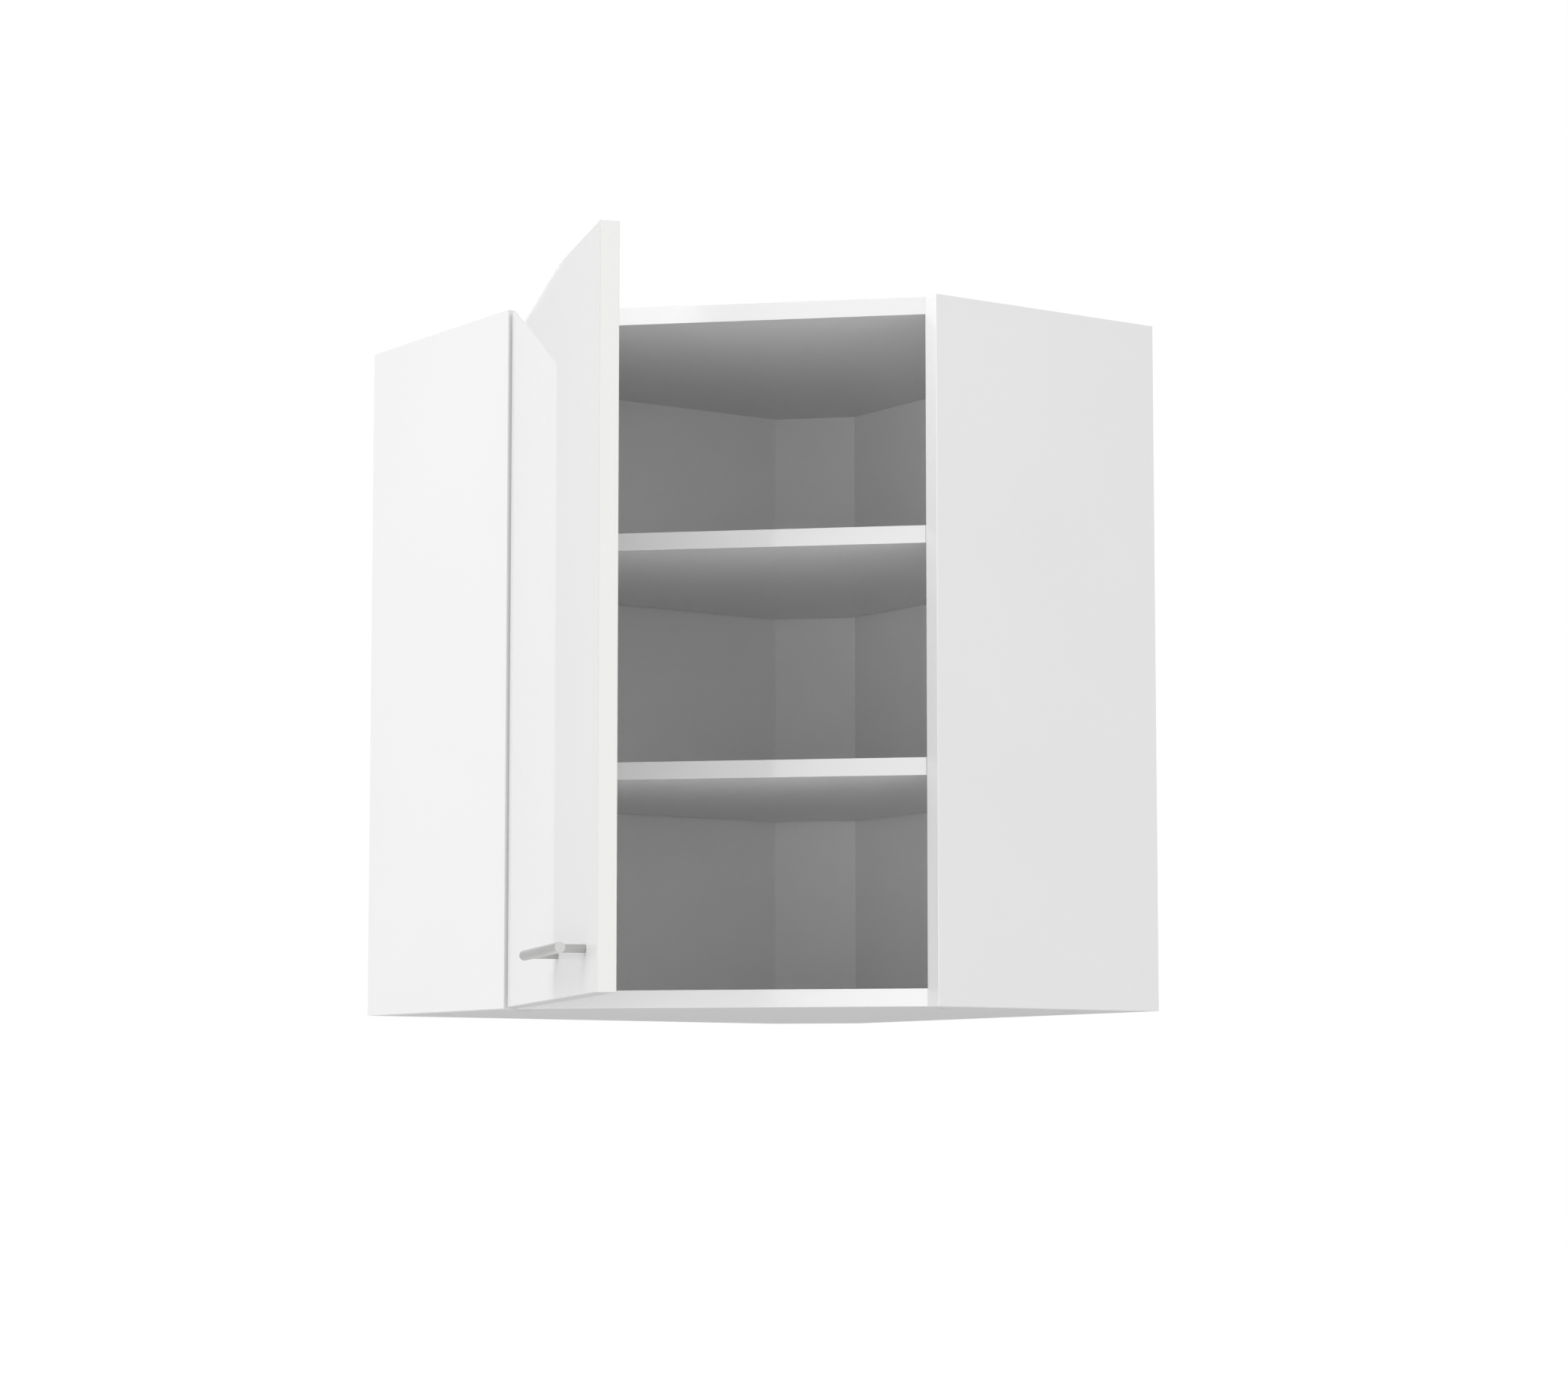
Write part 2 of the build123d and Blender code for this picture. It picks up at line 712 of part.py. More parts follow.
def hanger_fixing_screws():
    """Screws through the housings into the side panels."""
    screws = []
    length = hanger_thick - hanger_screw_head + hanger_screw_in_side
    for drop in hanger_screw_drops:
        head = (hanger_screw_x(), side_inner_y + hanger_thick - hanger_screw_head, hanger_top - drop)
        screws.append(screw(head, (0, -1, 0), hanger_screw_head_radius, hanger_screw_head,
                            hanger_screw_radius, length))
    return group(both_sides(screws))


def hanger_adjusting_screws():
    """Set screws for height and depth, flush with the housings' front faces."""
    screws = []
    for x, y, z in adjusters():
        stud = rod((x, y, z), (-1, 0, 0), adjuster_radius, adjuster_length)
        slot = Box(2 * recess_width, 2 * recess_share * adjuster_radius, recess_width)
        stud -= Pos(x, y, z) * (slot + Rot(90, 0, 0) * slot)
        screws.append(stud)
    return group(both_sides(screws))


def wall_plate_left():
    """Plate screwed to the wall; its upper lip stands off so that the hook's tip fits behind."""
    low = side_inner_y + hook_inset / 2
    high = low + wall_plate_width
    lip_near = hook_wall_gap + hook_tip + wall_lip_gap
    lip_far = back_gap - wall_lip_gap
    lip_bottom = hook_z - wall_lip_drop
    plate = block(0, wall_plate, low, high, hook_z - wall_plate_drop, lip_bottom)
    plate += block(0, lip_far, low, high, lip_bottom - wall_plate, lip_bottom)
    plate += block(lip_near, lip_far, low, high, lip_bottom, hook_z)
    middle = (low + high) / 2
    for side in (-1, 1):
        hole = (0, middle + side * wall_screw_spacing / 2, hook_z - wall_screw_drop)
        plate -= rod(hole, (1, 0, 0), wall_screw_radius, wall_plate)
    return plate


# ---- Write every node --------------------------------------------------------
write(left_side_panel(), "left_side_panel")
write(across(side_panel()), "right_side_panel")
write(side_band(), "left_side_edge_band")
write(across(side_band()), "right_side_edge_band")
for name, level in slab_levels.items():
    write(slab(level), f"{name}_panel")
    write(front_band(0, level), f"{name}_edge_band")
for name, low in shelf_heights.items():
    write(shelf(low), f"{name}_shelf")
    write(front_band(shelf_side_play, low), f"{name}_shelf_edge_band")
for name, sheet in back_panels().items():
    write(sheet, f"{name}_back_panel")

write(carcase_dowels(), "carcase_dowels")
write(cam_bolts(), "cam_bolts")
write(cam_housings(), "cam_housings")
write(shelf_supports(), "shelf_supports")

write(door_panel(), "door_panel")
write(handle_bar(), "handle_bar")
write(handle_posts(), "handle_posts")
write(handle_screws(), "handle_screws")

for name, z in hinge_heights.items():
    write(hinge_cup(z), f"{name}_hinge_cup")
    write(hinge_arm(z), f"{name}_hinge_arm")
    write(hinge_plate(z), f"{name}_hinge_plate")
write(hinge_pins(), "hinge_pins")
write(hinge_cup_screws(), "hinge_cup_screws")
write(hinge_plate_screws(), "hinge_plate_screws")
write(hinge_arm_screws(), "hinge_arm_screws")

left_hand = {
    "hanger_body": hanger_body(),
    "hanger_hook": hanger_hook(),
    "hanger_cover": hanger_cover(),
    "wall_plate": wall_plate_left(),
}
for name, piece in left_hand.items():
    write(piece, f"left_{name}")
    write(across(piece), f"right_{name}")
write(hanger_fixing_screws(), "hanger_fixing_screws")
write(hanger_adjusting_screws(), "hanger_adjusting_screws")

print("hinge pin at", round(pin_point.X, 3), round(pin_point.Y, 3))
print("door", round(door_width, 3), "wide", round(door_height, 3), "high")
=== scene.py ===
# %% [markdown]
# # A diagonal corner wall cabinet
# The imported CAD model is the frame that everything here is built on. It is
# loaded first, because every piece below takes its place from it. Its parts
# stay in the scene, hidden where a new piece stands for one, and each new
# piece's box is compared with its part's as it is made.

# %% Load the frame
import bmesh
import bpy
import math
import numpy as np
from mathutils import Matrix, Vector
from mathutils.geometry import tessellate_polygon


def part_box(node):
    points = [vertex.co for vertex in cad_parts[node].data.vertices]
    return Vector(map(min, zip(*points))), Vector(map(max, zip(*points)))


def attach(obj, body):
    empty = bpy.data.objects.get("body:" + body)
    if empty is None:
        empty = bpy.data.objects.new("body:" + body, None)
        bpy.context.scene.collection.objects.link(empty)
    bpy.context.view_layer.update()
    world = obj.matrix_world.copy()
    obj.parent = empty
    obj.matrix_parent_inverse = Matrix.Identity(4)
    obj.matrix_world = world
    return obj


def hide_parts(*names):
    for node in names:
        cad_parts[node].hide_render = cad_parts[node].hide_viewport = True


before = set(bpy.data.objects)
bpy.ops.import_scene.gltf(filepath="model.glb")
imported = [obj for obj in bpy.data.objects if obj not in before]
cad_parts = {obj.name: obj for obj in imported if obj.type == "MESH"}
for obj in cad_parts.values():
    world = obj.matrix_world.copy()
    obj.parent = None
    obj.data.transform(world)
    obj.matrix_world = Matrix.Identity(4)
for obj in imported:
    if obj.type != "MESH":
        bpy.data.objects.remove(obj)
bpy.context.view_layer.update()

# %% [markdown]
# ## Camera
# The picture was taken with a long lens from a little below the cabinet, about
# four and a half metres away, so upright edges stay nearly parallel. The lens
# and the place below were worked out from the cabinet's own edges.

# %% Camera
IMAGE_WIDTH = 2044  # pixels
FOCAL_PIXELS = 5151.4
HORIZON_SHIFT = 61.0 / IMAGE_WIDTH
EYE = Vector((3.7479, -2.6533, -0.1309))
TURN, TILT = math.radians(55.281), math.radians(5.793)


def facing(place, ahead):
    """The matrix of a camera or lamp that stands at a place and looks along a direction."""
    return Matrix.Translation(place) @ ahead.to_track_quat("-Z", "Y").to_matrix().to_4x4()


def aim_camera():
    """A camera whose view direction is given by a turn about +Z and a tilt up."""
    lens = bpy.data.cameras.new("camera")
    lens.sensor_width = 36.0
    lens.lens = FOCAL_PIXELS / IMAGE_WIDTH * lens.sensor_width
    lens.shift_y = HORIZON_SHIFT
    lens.clip_end = 60.0
    camera = bpy.data.objects.new("camera", lens)
    bpy.context.scene.collection.objects.link(camera)
    level = math.cos(TILT)
    ahead = Vector((-math.sin(TURN) * level, math.cos(TURN) * level, math.sin(TILT)))
    camera.matrix_world = facing(EYE, ahead)
    bpy.context.scene.camera = camera
    print(f"lens {lens.lens:.1f} mm, {EYE.xy.length:.2f} m from the corner of the walls")


aim_camera()

# %% [markdown]
# ## Sizes that the looks need
# The solids give every place, and these few sizes of the cabinet, in
# millimetres, say where a finish changes and where the new pieces stand.

# %% Main sizes
MM = 0.001
SIDE_DEPTH, WALL_WIDTH, HEIGHT, BOARD = 285.0, 600.0, 720.0, 18.0
print(f"{WALL_WIDTH:.0f} x {WALL_WIDTH:.0f} x {HEIGHT:.0f} mm, board {BOARD:.0f} mm")

# %% [markdown]
# ## Colours and nodes
# Colours are written as the sRGB hex values that a paint chart would give, and
# one function turns them to the linear numbers that a shader wants. One more
# function adds a node, sets its values and links it. Each finish below starts
# from a shader whose fixed values sit on its own sockets.

# %% Colour and node helpers
def linear(code):
    """Linear RGBA of an sRGB hex colour: c / 12.92 near black, else ((c + 0.055) / 1.055) ^ 2.4."""
    parts = [int(code[i:i + 2], 16) / 255 for i in (0, 2, 4)]
    return [c / 12.92 if c <= 0.04045 else ((c + 0.055) / 1.055) ** 2.4 for c in parts] + [1.0]


def add(tree, kind, values=None, links=None, **settings):
    """Adds one node: settings are its properties, values its sockets, links what feeds them."""
    node = tree.nodes.new(kind)
    for key, value in settings.items():
        setattr(node, key, value)
    for key, value in (values or {}).items():
        node.inputs[key].default_value = value
    for key, source in (links or {}).items():
        tree.links.new(source, node.inputs[key])
    return node


def finish(name, **values):
    """An empty node material: its tree, its shader and its place and normal on the object."""
    made = bpy.data.materials.new(name)
    made.use_nodes = True
    tree = made.node_tree
    tree.nodes.clear()
    shader = add(tree, "ShaderNodeBsdfPrincipled", {key.replace("_", " "): v for key, v in values.items()})
    add(tree, "ShaderNodeOutputMaterial", links={"Surface": shader.outputs[0]})
    where = add(tree, "ShaderNodeTexCoord")
    return made, tree, shader, where


# %% [markdown]
# Patterns are laid on the object's own coordinates, which are metres, so a
# noise whose grains are g millimetres across has a scale of 1000 / g. Faces are
# told apart by the way they look: the normal's share along a direction is near
# 1 on the faces that look that way.

# %% Patterns in real millimetres and masks by direction
def grain(tree, where, size_mm, detail=2.0, stretch=(1.0, 1.0, 1.0), turn=0.0):
    """Noise from 0 to 1 with grains size_mm across, longer along an axis by stretch and turned by turn."""
    place = add(tree, "ShaderNodeMapping", {"Rotation": (0, 0, turn), "Scale": stretch},
                {"Vector": where.outputs["Object"]}, vector_type="TEXTURE")
    return add(tree, "ShaderNodeTexNoise", {"Scale": 1000.0 / size_mm, "Detail": detail},
               {"Vector": place.outputs[0]}).outputs[0]


def span(tree, source, low, high):
    """A 0 to 1 pattern spread from low to high, taken from its middle part."""
    return add(tree, "ShaderNodeMapRange", {"From Min": 0.3, "From Max": 0.7, "To Min": low, "To Max": high},
               {"Value": source}).outputs[0]


def looks(tree, where, direction, least=0.5):
    """1 where the normal's share along a direction is more than least, and else 0."""
    share = add(tree, "ShaderNodeVectorMath", {1: direction}, {0: where.outputs["Normal"]},
                operation="DOT_PRODUCT").outputs["Value"]
    return add(tree, "ShaderNodeMath", {1: least}, {0: share}, operation="GREATER_THAN").outputs[0]


def either(tree, mask, off, on, data="FLOAT"):
    """off where the mask is 0, on where it is 1; each is a socket, a number or a colour."""
    a, b = {"FLOAT": (2, 3), "RGBA": (6, 7)}[data]
    node = add(tree, "ShaderNodeMix", links={0: mask}, data_type=data)
    for index, source in ((a, off), (b, on)):
        if isinstance(source, bpy.types.NodeSocket):
            tree.links.new(source, node.inputs[index])
        else:
            node.inputs[index].default_value = source
    return node.outputs[{"FLOAT": 0, "RGBA": 2}[data]]


def dress(tree, shader, colour, gloss, height, micrometres, edge_mm=0.0):
    """Links colour, roughness and a bump from a 0 to 1 height, so many micrometres deep, to a shader. edge_mm
    shades edges as if rounded that much."""
    tree.links.new(colour, shader.inputs["Base Color"])
    tree.links.new(gloss, shader.inputs["Roughness"])
    bump = add(tree, "ShaderNodeBump", {"Strength": 1.0, "Distance": micrometres * 1e-6}, {"Height": height})
    if edge_mm:
        soft = add(tree, "ShaderNodeBevel", {"Radius": edge_mm * MM}, samples=4)
        tree.links.new(soft.outputs[0], bump.inputs["Normal"])
    tree.links.new(bump.outputs[0], shader.inputs["Normal"])


# %% [markdown]
# ## Board finishes
# The boards are chipboard: pressed wood chips, coarse in the core and fine near
# both faces, with a thin resin-soaked paper or a foil on top. Outside the foil
# is high gloss, a mirror with the slight waviness of the board below. Inside it
# is matt with a fine pearl. Where a board was sawn and not banded, as on the
# edges against the walls, its chips show.

# %% Chipboard, foil and melamine
# The ceiling's and the underside's whites are darker copies of the inside melamine: painted shade.
GLOSS_WHITE, INSIDE_WHITE, CEILING_PAINTED_SHADE_WHITE, UNDERSIDE_PAINTED_SHADE_WHITE = "e8e8e8", "f3f3f3", "ebebeb", "e7e7e7"
# The door's face white is a little lighter than the end panels' foil, as painted light, and its rounded
# corners' white is darker, as painted shade. The cabinet floor's white is lighter than the shelves', as
# painted light.
DOOR_FACE_PAINTED_LIGHT_WHITE, DOOR_EDGE_WHITE, DOOR_CORNER_PAINTED_SHADE_WHITE, CABINET_FLOOR_PAINTED_LIGHT_WHITE = "ebebeb", "e4e4e2", "d2d2d0", "f9f9f9"
PEARL_MM, WAVE_MM = 1.4, 7.0  # the pearl of matt foil, the waves in a gloss foil
MATT_PATCH_MM, GLOSS_PATCH_MM = 12.0, 40.0  # how far the roughness stays alike
MATT_ROUGH, SAWN_ROUGH = (0.46, 0.56), 0.9
FOIL_DEPTH, CHIP_DEPTH = 5.0, 120.0  # micrometres
CHIP_LONG, CHIP_THICK, SKIN_SHARE = 5.0, 1.2, 0.28
CORE_ENDS, SKIN_STARTS = 5.5, 6.5  # from the board's middle
BELOW = (0.0, 0.0, -1.0)
CHIP_COLOURS = ((0.0, "7d6242"), (0.35, "b29468"), (0.7, "cdb48a"), (1.0, "dfcba6"))


def chips(tree, where, thick_axis, middle_mm):
    """Sawn chipboard: Voronoi cells of one colour each, long and flat as pressed chips are, and smaller in
    the skins near both faces than in the core. Returns their colour and a height."""
    sizes = [CHIP_LONG] * 3
    sizes[thick_axis] = CHIP_THICK
    found = []
    for share in (1.0, SKIN_SHARE):
        place = add(tree, "ShaderNodeMapping", {"Scale": [1000.0 / (size * share) for size in sizes]},
                    {"Vector": where.outputs["Object"]})
        found.append(add(tree, "ShaderNodeTexVoronoi", {"Scale": 1.0}, {"Vector": place.outputs[0]}))
    along = add(tree, "ShaderNodeSeparateXYZ", links={0: where.outputs["Object"]}).outputs[thick_axis]
    off = add(tree, "ShaderNodeMath", {1: middle_mm * MM}, {0: along}, operation="SUBTRACT")
    off = add(tree, "ShaderNodeMath", links={0: off.outputs[0]}, operation="ABSOLUTE")
    skin = add(tree, "ShaderNodeMapRange", {"From Min": CORE_ENDS * MM, "From Max": SKIN_STARTS * MM},
               {"Value": off.outputs[0]}).outputs[0]
    shade = either(tree, skin, found[0].outputs["Color"], found[1].outputs["Color"], "RGBA")
    one = add(tree, "ShaderNodeSeparateXYZ", links={0: shade}).outputs[0]
    ramp = add(tree, "ShaderNodeValToRGB", links={0: one})
    steps = ramp.color_ramp.elements
    steps[0].position, steps[0].color = CHIP_COLOURS[0][0], linear(CHIP_COLOURS[0][1])
    steps[1].position, steps[1].color = CHIP_COLOURS[-1][0], linear(CHIP_COLOURS[-1][1])
    for position, code in CHIP_COLOURS[1:-1]:
        steps.new(position).color = linear(code)
    return ramp.outputs[0], one


def shaded(tree, code, share):
    """A colour times a share from 0 to 1."""
    grey = add(tree, "ShaderNodeCombineColor", links={0: share, 1: share, 2: share}).outputs[0]
    return add(tree, "ShaderNodeMix", {0: 1.0, 6: linear(code)}, {7: grey},
               data_type="RGBA", blend_type="MULTIPLY").outputs[2]


def cloudy(tree, where, code, size_mm=180.0, change=0.012):
    """A colour that drifts by about one part in a hundred, as a printed or pressed white does."""
    return shaded(tree, code, span(tree, grain(tree, where, size_mm), 1.0 - change, 1.0))


def board_finish(name, thick_axis, middle_mm, glossy=None, white=INSIDE_WHITE, below=None,
                 rough=0.5, specular=0.5):
    """A coated board, thin along one axis. Its sawn edges and bores show chips, apart from the sealed ends
    of an upright board. glossy is the way its high gloss face looks, below its underside's white, if any:
    a darker white, as painted shade."""
    made, tree, shader, where = finish(name, Specular_IOR_Level=specular)
    tilt = add(tree, "ShaderNodeSeparateXYZ", links={0: where.outputs["Normal"]}).outputs[thick_axis]
    flat = add(tree, "ShaderNodeMath", links={0: tilt}, operation="ABSOLUTE").outputs[0]
    sawn = add(tree, "ShaderNodeMath", {1: 0.5}, {0: flat}, operation="LESS_THAN").outputs[0]
    if glossy:
        high = add(tree, "ShaderNodeSeparateXYZ", links={0: where.outputs["Object"]}).outputs[2]
        inner = add(tree, "ShaderNodeMath", {1: HEIGHT * MM / 2, 2: (HEIGHT / 2 - 0.5) * MM}, {0: high},
                    operation="COMPARE").outputs[0]
        sawn = add(tree, "ShaderNodeMath", links={0: sawn, 1: inner}, operation="MULTIPLY").outputs[0]
    chip_colour, chip_height = chips(tree, where, thick_axis, middle_mm)
    colour, height = cloudy(tree, where, white), grain(tree, where, PEARL_MM)
    if below:
        # The underside's darker white is painted shade.
        colour = either(tree, looks(tree, where, BELOW), colour, cloudy(tree, where, below), "RGBA")
    gloss = span(tree, grain(tree, where, MATT_PATCH_MM), rough - 0.04, rough + 0.06)
    if glossy:
        outside = looks(tree, where, glossy)
        colour = either(tree, outside, colour, cloudy(tree, where, GLOSS_WHITE), "RGBA")
        gloss = either(tree, outside, gloss, span(tree, grain(tree, where, GLOSS_PATCH_MM), 0.015, 0.04))
        height = either(tree, outside, height, grain(tree, where, WAVE_MM, 0.0))
    colour = either(tree, sawn, colour, chip_colour, "RGBA")
    gloss = either(tree, sawn, gloss, SAWN_ROUGH)
    deep = add(tree, "ShaderNodeMath", {1: CHIP_DEPTH / FOIL_DEPTH}, {0: chip_height}, operation="MULTIPLY")
    dress(tree, shader, colour, gloss, either(tree, sawn, height, deep.outputs[0]), FOIL_DEPTH, 0.2)
    return made


# %% [markdown]
# The door is the same kind of board with every edge banded. Its face is the
# mirror in the picture, its back is matt melamine. It is drawn open by 65
# degrees, so its face looks 20 degrees off the left end panel's. Only the flat
# face is a mirror: its rounded corners are duller, and their darker white is
# painted shade that dims their highlight. The face's white is a little lighter
# than the end panels' foil, as painted light, and the bottom edge takes the
# underside's darker white, as painted shade. The back sheets are thin hardboard,
# pressed from fibres and painted on one side.

# %% Door, bands and back sheets
FRONT_TURN, DOOR_ANGLE = 45.0, 65.0  # degrees: the front from the left end panel, the door as drawn
OPEN_FACE = math.radians(-FRONT_TURN - DOOR_ANGLE)
OPEN_FRONT = (math.cos(OPEN_FACE), math.sin(OPEN_FACE), 0.0)
FLAT_FACE, ROUND_CORNER = 0.98, 0.1  # shares along the face's own direction
DOOR_DEPTH = 4.0  # micrometres


def door_finish():
    """High gloss foil in front, gloss bands on the edges, matt melamine behind."""
    made, tree, shader, where = finish("high_gloss_foil_on_board", Specular_IOR_Level=0.5)
    front = looks(tree, where, OPEN_FRONT, FLAT_FACE)
    back = looks(tree, where, tuple(-v for v in OPEN_FRONT))
    below = looks(tree, where, BELOW)
    corner = looks(tree, where, OPEN_FRONT, ROUND_CORNER)
    # Painted light and shade: the rounded corners get a darker white, the flat face a lighter one, and the
    # bottom edge the underside's darker white.
    colour = either(tree, corner, linear(DOOR_EDGE_WHITE), linear(DOOR_CORNER_PAINTED_SHADE_WHITE), "RGBA")
    colour = either(tree, front, colour, cloudy(tree, where, DOOR_FACE_PAINTED_LIGHT_WHITE), "RGBA")
    colour = either(tree, back, colour, cloudy(tree, where, INSIDE_WHITE), "RGBA")
    colour = either(tree, below, colour, linear(UNDERSIDE_PAINTED_SHADE_WHITE), "RGBA")
    gloss = either(tree, front, 0.15, span(tree, grain(tree, where, GLOSS_PATCH_MM), 0.012, 0.03))
    gloss = either(tree, back, gloss, span(tree, grain(tree, where, MATT_PATCH_MM), *MATT_ROUGH))
    gloss = either(tree, below, gloss, 1.0)
    height = either(tree, back, grain(tree, where, WAVE_MM, 0.0), grain(tree, where, PEARL_MM))
    dress(tree, shader, colour, gloss, height, DOOR_DEPTH, 0.12)
    return made


def band_finish(name, code, rough):
    """A plastic edge band, planed flush: a gloss with faint waves 5 mm long, which the plane leaves."""
    made, tree, shader, where = finish(name, Specular_IOR_Level=1.0)
    dress(tree, shader, cloudy(tree, where, code), span(tree, grain(tree, where, 9.0), rough, rough + 0.03),
          grain(tree, where, 5.0, 1.0), 3.0)
    return made


def back_finish(name, inside):
    """Thin hardboard: white paint on the side that looks inside, bare brown fibres behind and at edges."""
    made, tree, shader, where = finish(name)
    painted = looks(tree, where, inside)
    fibres = span(tree, grain(tree, where, 0.9, 4.0), 0, 1)
    brown = either(tree, fibres, linear("6b4c31"), linear("8d6a48"), "RGBA")
    brown = either(tree, span(tree, grain(tree, where, 35.0), 0, 0.5), brown, linear("7a5a3b"), "RGBA")
    colour = either(tree, painted, brown, cloudy(tree, where, INSIDE_WHITE), "RGBA")
    gloss = either(tree, painted, 0.75, span(tree, grain(tree, where, MATT_PATCH_MM), *MATT_ROUGH))
    dress(tree, shader, colour, gloss, grain(tree, where, 1.2), 8.0)
    return made


# %% [markdown]
# ## Fittings
# The handle is brushed and left satin, so its marks run along the bar. Hinges
# are stamped steel with a bright nickel coat. Screws, hooks and wall plates are
# zinc plated, which is a little mottled. Cams are cast zinc under white paint,
# because they lie flush in the cabinet's white underside. The dowels are beech,
# and the hanger housings moulded plastic.

# %% Metals, beech and plastic
def metal(name, code, rough, grain_mm, micrometres, stretch=(1.0, 1.0, 1.0), turn=0.0):
    """A metal whose roughness, tone and relief share one grain."""
    made, tree, shader, where = finish(name, Metallic=1.0)
    marks = grain(tree, where, grain_mm, 3.0, stretch, turn)
    dress(tree, shader, shaded(tree, code, span(tree, marks, 0.88, 1.0)),
          span(tree, marks, rough * 0.85, rough * 1.15), marks, micrometres)
    return made


OPEN_TURN = math.radians(FRONT_TURN - DOOR_ANGLE)  # of the bar on the open door, and of its brush marks
HANDLE = metal("brushed_satin_steel", "dededd", 0.42, 0.5, 2.0, (40.0, 1.0, 1.0), OPEN_TURN)
# The posts take the bar's steel in a darker tone: painted shade.
POST = metal("turned_satin_steel_painted_shade", "bdbdbc", 0.36, 0.4, 2.0)
NICKEL = metal("bright_nickel_plated_steel", "cfccc6", 0.22, 2.5, 1.0)
ZINC = metal("zinc_plated_steel", "bfc1c3", 0.34, 1.6, 2.0)


def beech_finish():
    """Turned beech: pale brown with short darker flecks, the cut rays, 2 mm long and 0.4 mm wide."""
    made, tree, shader, where = finish("turned_beech")
    fleck = span(tree, grain(tree, where, 0.45, 1.0, (1.0, 1.0, 5.0)), 0, 1)
    colour = either(tree, fleck, linear("d8b189"), linear("b98a5e"), "RGBA")
    dress(tree, shader, colour, span(tree, fleck, 0.55, 0.7), fleck, 10.0)
    return made


def mould_finish(name, code, rough, grain_mm, micrometres, edge_mm, **values):
    """A part from a mould: faint clouds 60 mm wide, the mould's own grain, and soft edges."""
    made, tree, shader, where = finish(name, **values)
    dress(tree, shader, cloudy(tree, where, code, 60.0), span(tree, grain(tree, where, 3.0), *rough),
          grain(tree, where, grain_mm, 1.0), micrometres, edge_mm)
    return made


# Plastic shows the even sparkle of an eroded mould. Paint pools softly over a casting's grain.
BEECH = beech_finish()
PLASTIC = mould_finish("moulded_white_plastic", "ececea", (0.42, 0.52), 0.6, 9.0, 0.8, IOR=1.47)
# The cams' paint takes the underside's darker white, which is painted shade.
PAINTED = mould_finish("white_painted_cast_zinc", UNDERSIDE_PAINTED_SHADE_WHITE, (0.55, 0.7), 0.5, 6.0, 0.2,
                       Specular_IOR_Level=0.3)

# %% [markdown]
# Boards, bands and sheets keep their CAD solids, because those are right to
# the bores, and get these finishes in their material slots.

# %% Finishes on the carried-over solids
SHELF_LEVELS = (232.0, 467.5)
FINISHES = {
    "left_side_panel": board_finish("left_side_board", 1, -(WALL_WIDTH - BOARD / 2), (0, -1, 0)),
    "right_side_panel": board_finish("right_side_board", 0, WALL_WIDTH - BOARD / 2, (1, 0, 0)),
    # The top board's darker white is painted shade. The bottom board's lighter inner white is painted light,
    # and its underside's darker white is painted shade.
    "top_panel": board_finish("top_board", 2, HEIGHT - BOARD / 2, white=CEILING_PAINTED_SHADE_WHITE,
                              rough=0.7, specular=0.05),
    "bottom_panel": board_finish("bottom_board", 2, BOARD / 2, white=CABINET_FLOOR_PAINTED_LIGHT_WHITE,
                                 below=UNDERSIDE_PAINTED_SHADE_WHITE, rough=0.7, specular=0.05),
    "lower_shelf": board_finish("lower_shelf_board", 2, SHELF_LEVELS[0] + BOARD / 2),
    "upper_shelf": board_finish("upper_shelf_board", 2, SHELF_LEVELS[1] + BOARD / 2),
    "door_panel": door_finish(),
    "left_back_panel": back_finish("left_hardboard", (1, 0, 0)),
    "right_back_panel": back_finish("right_hardboard", (0, -1, 0)),
    "corner_back_panel": back_finish("corner_hardboard", (0.7071, -0.7071, 0)),
    "cam_bolts": ZINC, "hanger_fixing_screws": ZINC, "hanger_adjusting_screws": ZINC,
}
# The bands are all one plastic. Their different whites are painted light and shade: lighter on the right side
# and bottom bands, darker on the left side, shelf and top bands.
BANDS = {part: band_finish(f"gloss_{part}_band", white, rough) for part, white, rough in (
    ("left_side", "e2e2e2", 0.03), ("right_side", "f0f0f0", 0.03), ("shelf", "e2e2e2", 0.04),
    ("top", "e4e4e4", 0.05), ("bottom", "f2f2f2", 0.1))}
for name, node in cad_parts.items():
    band = next((made for part, made in BANDS.items() if part in name and name.endswith("edge_band")), None)
    chosen = FINISHES.get(name, band or (PLASTIC if "hanger_" in name else ZINC))
    node.data.materials.clear()
    node.data.materials.append(chosen)
shared = {node.data.materials[0].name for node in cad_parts.values()}
print(f"{len(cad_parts)} CAD nodes share {len(shared)} finishes")

# %% [markdown]
# ## Shapes from numbers
# Every new piece is worked out in millimetres and turned to metres at the end.
# A shape here is a pair: its points and its faces. Closed loops of points are
# stacked into walls, and a flat cap closes a loop, with or without holes in it.
# Points that meet are merged later, so that each piece becomes a closed skin.

# %% Walls, caps and places
def walls(loops, ring=False):
    """Skin of stacked closed loops, an (m, n, 3) grid: a face joins points i and i+1 of loops j and j+1.
    ring also joins the last loop to the first."""
    loops = np.asarray(loops, float)
    m, n = loops.shape[:2]
    j, i = np.meshgrid(np.arange(m if ring else m - 1), np.arange(n), indexing="ij")
    k, l = (j + 1) % m, (i + 1) % n
    faces = np.stack([j * n + i, j * n + l, k * n + l, k * n + i], axis=-1).reshape(-1, 4)
    return loops.reshape(-1, 3), faces.tolist()


def cap(outer, holes=()):
    """Flat triangles that fill a loop and leave its holes open."""
    rings = [np.asarray(loop, float) for loop in (outer, *holes)]
    faces = tessellate_polygon([[Vector(p) for p in ring] for ring in rings])
    return np.concatenate(rings), [list(face) for face in faces]


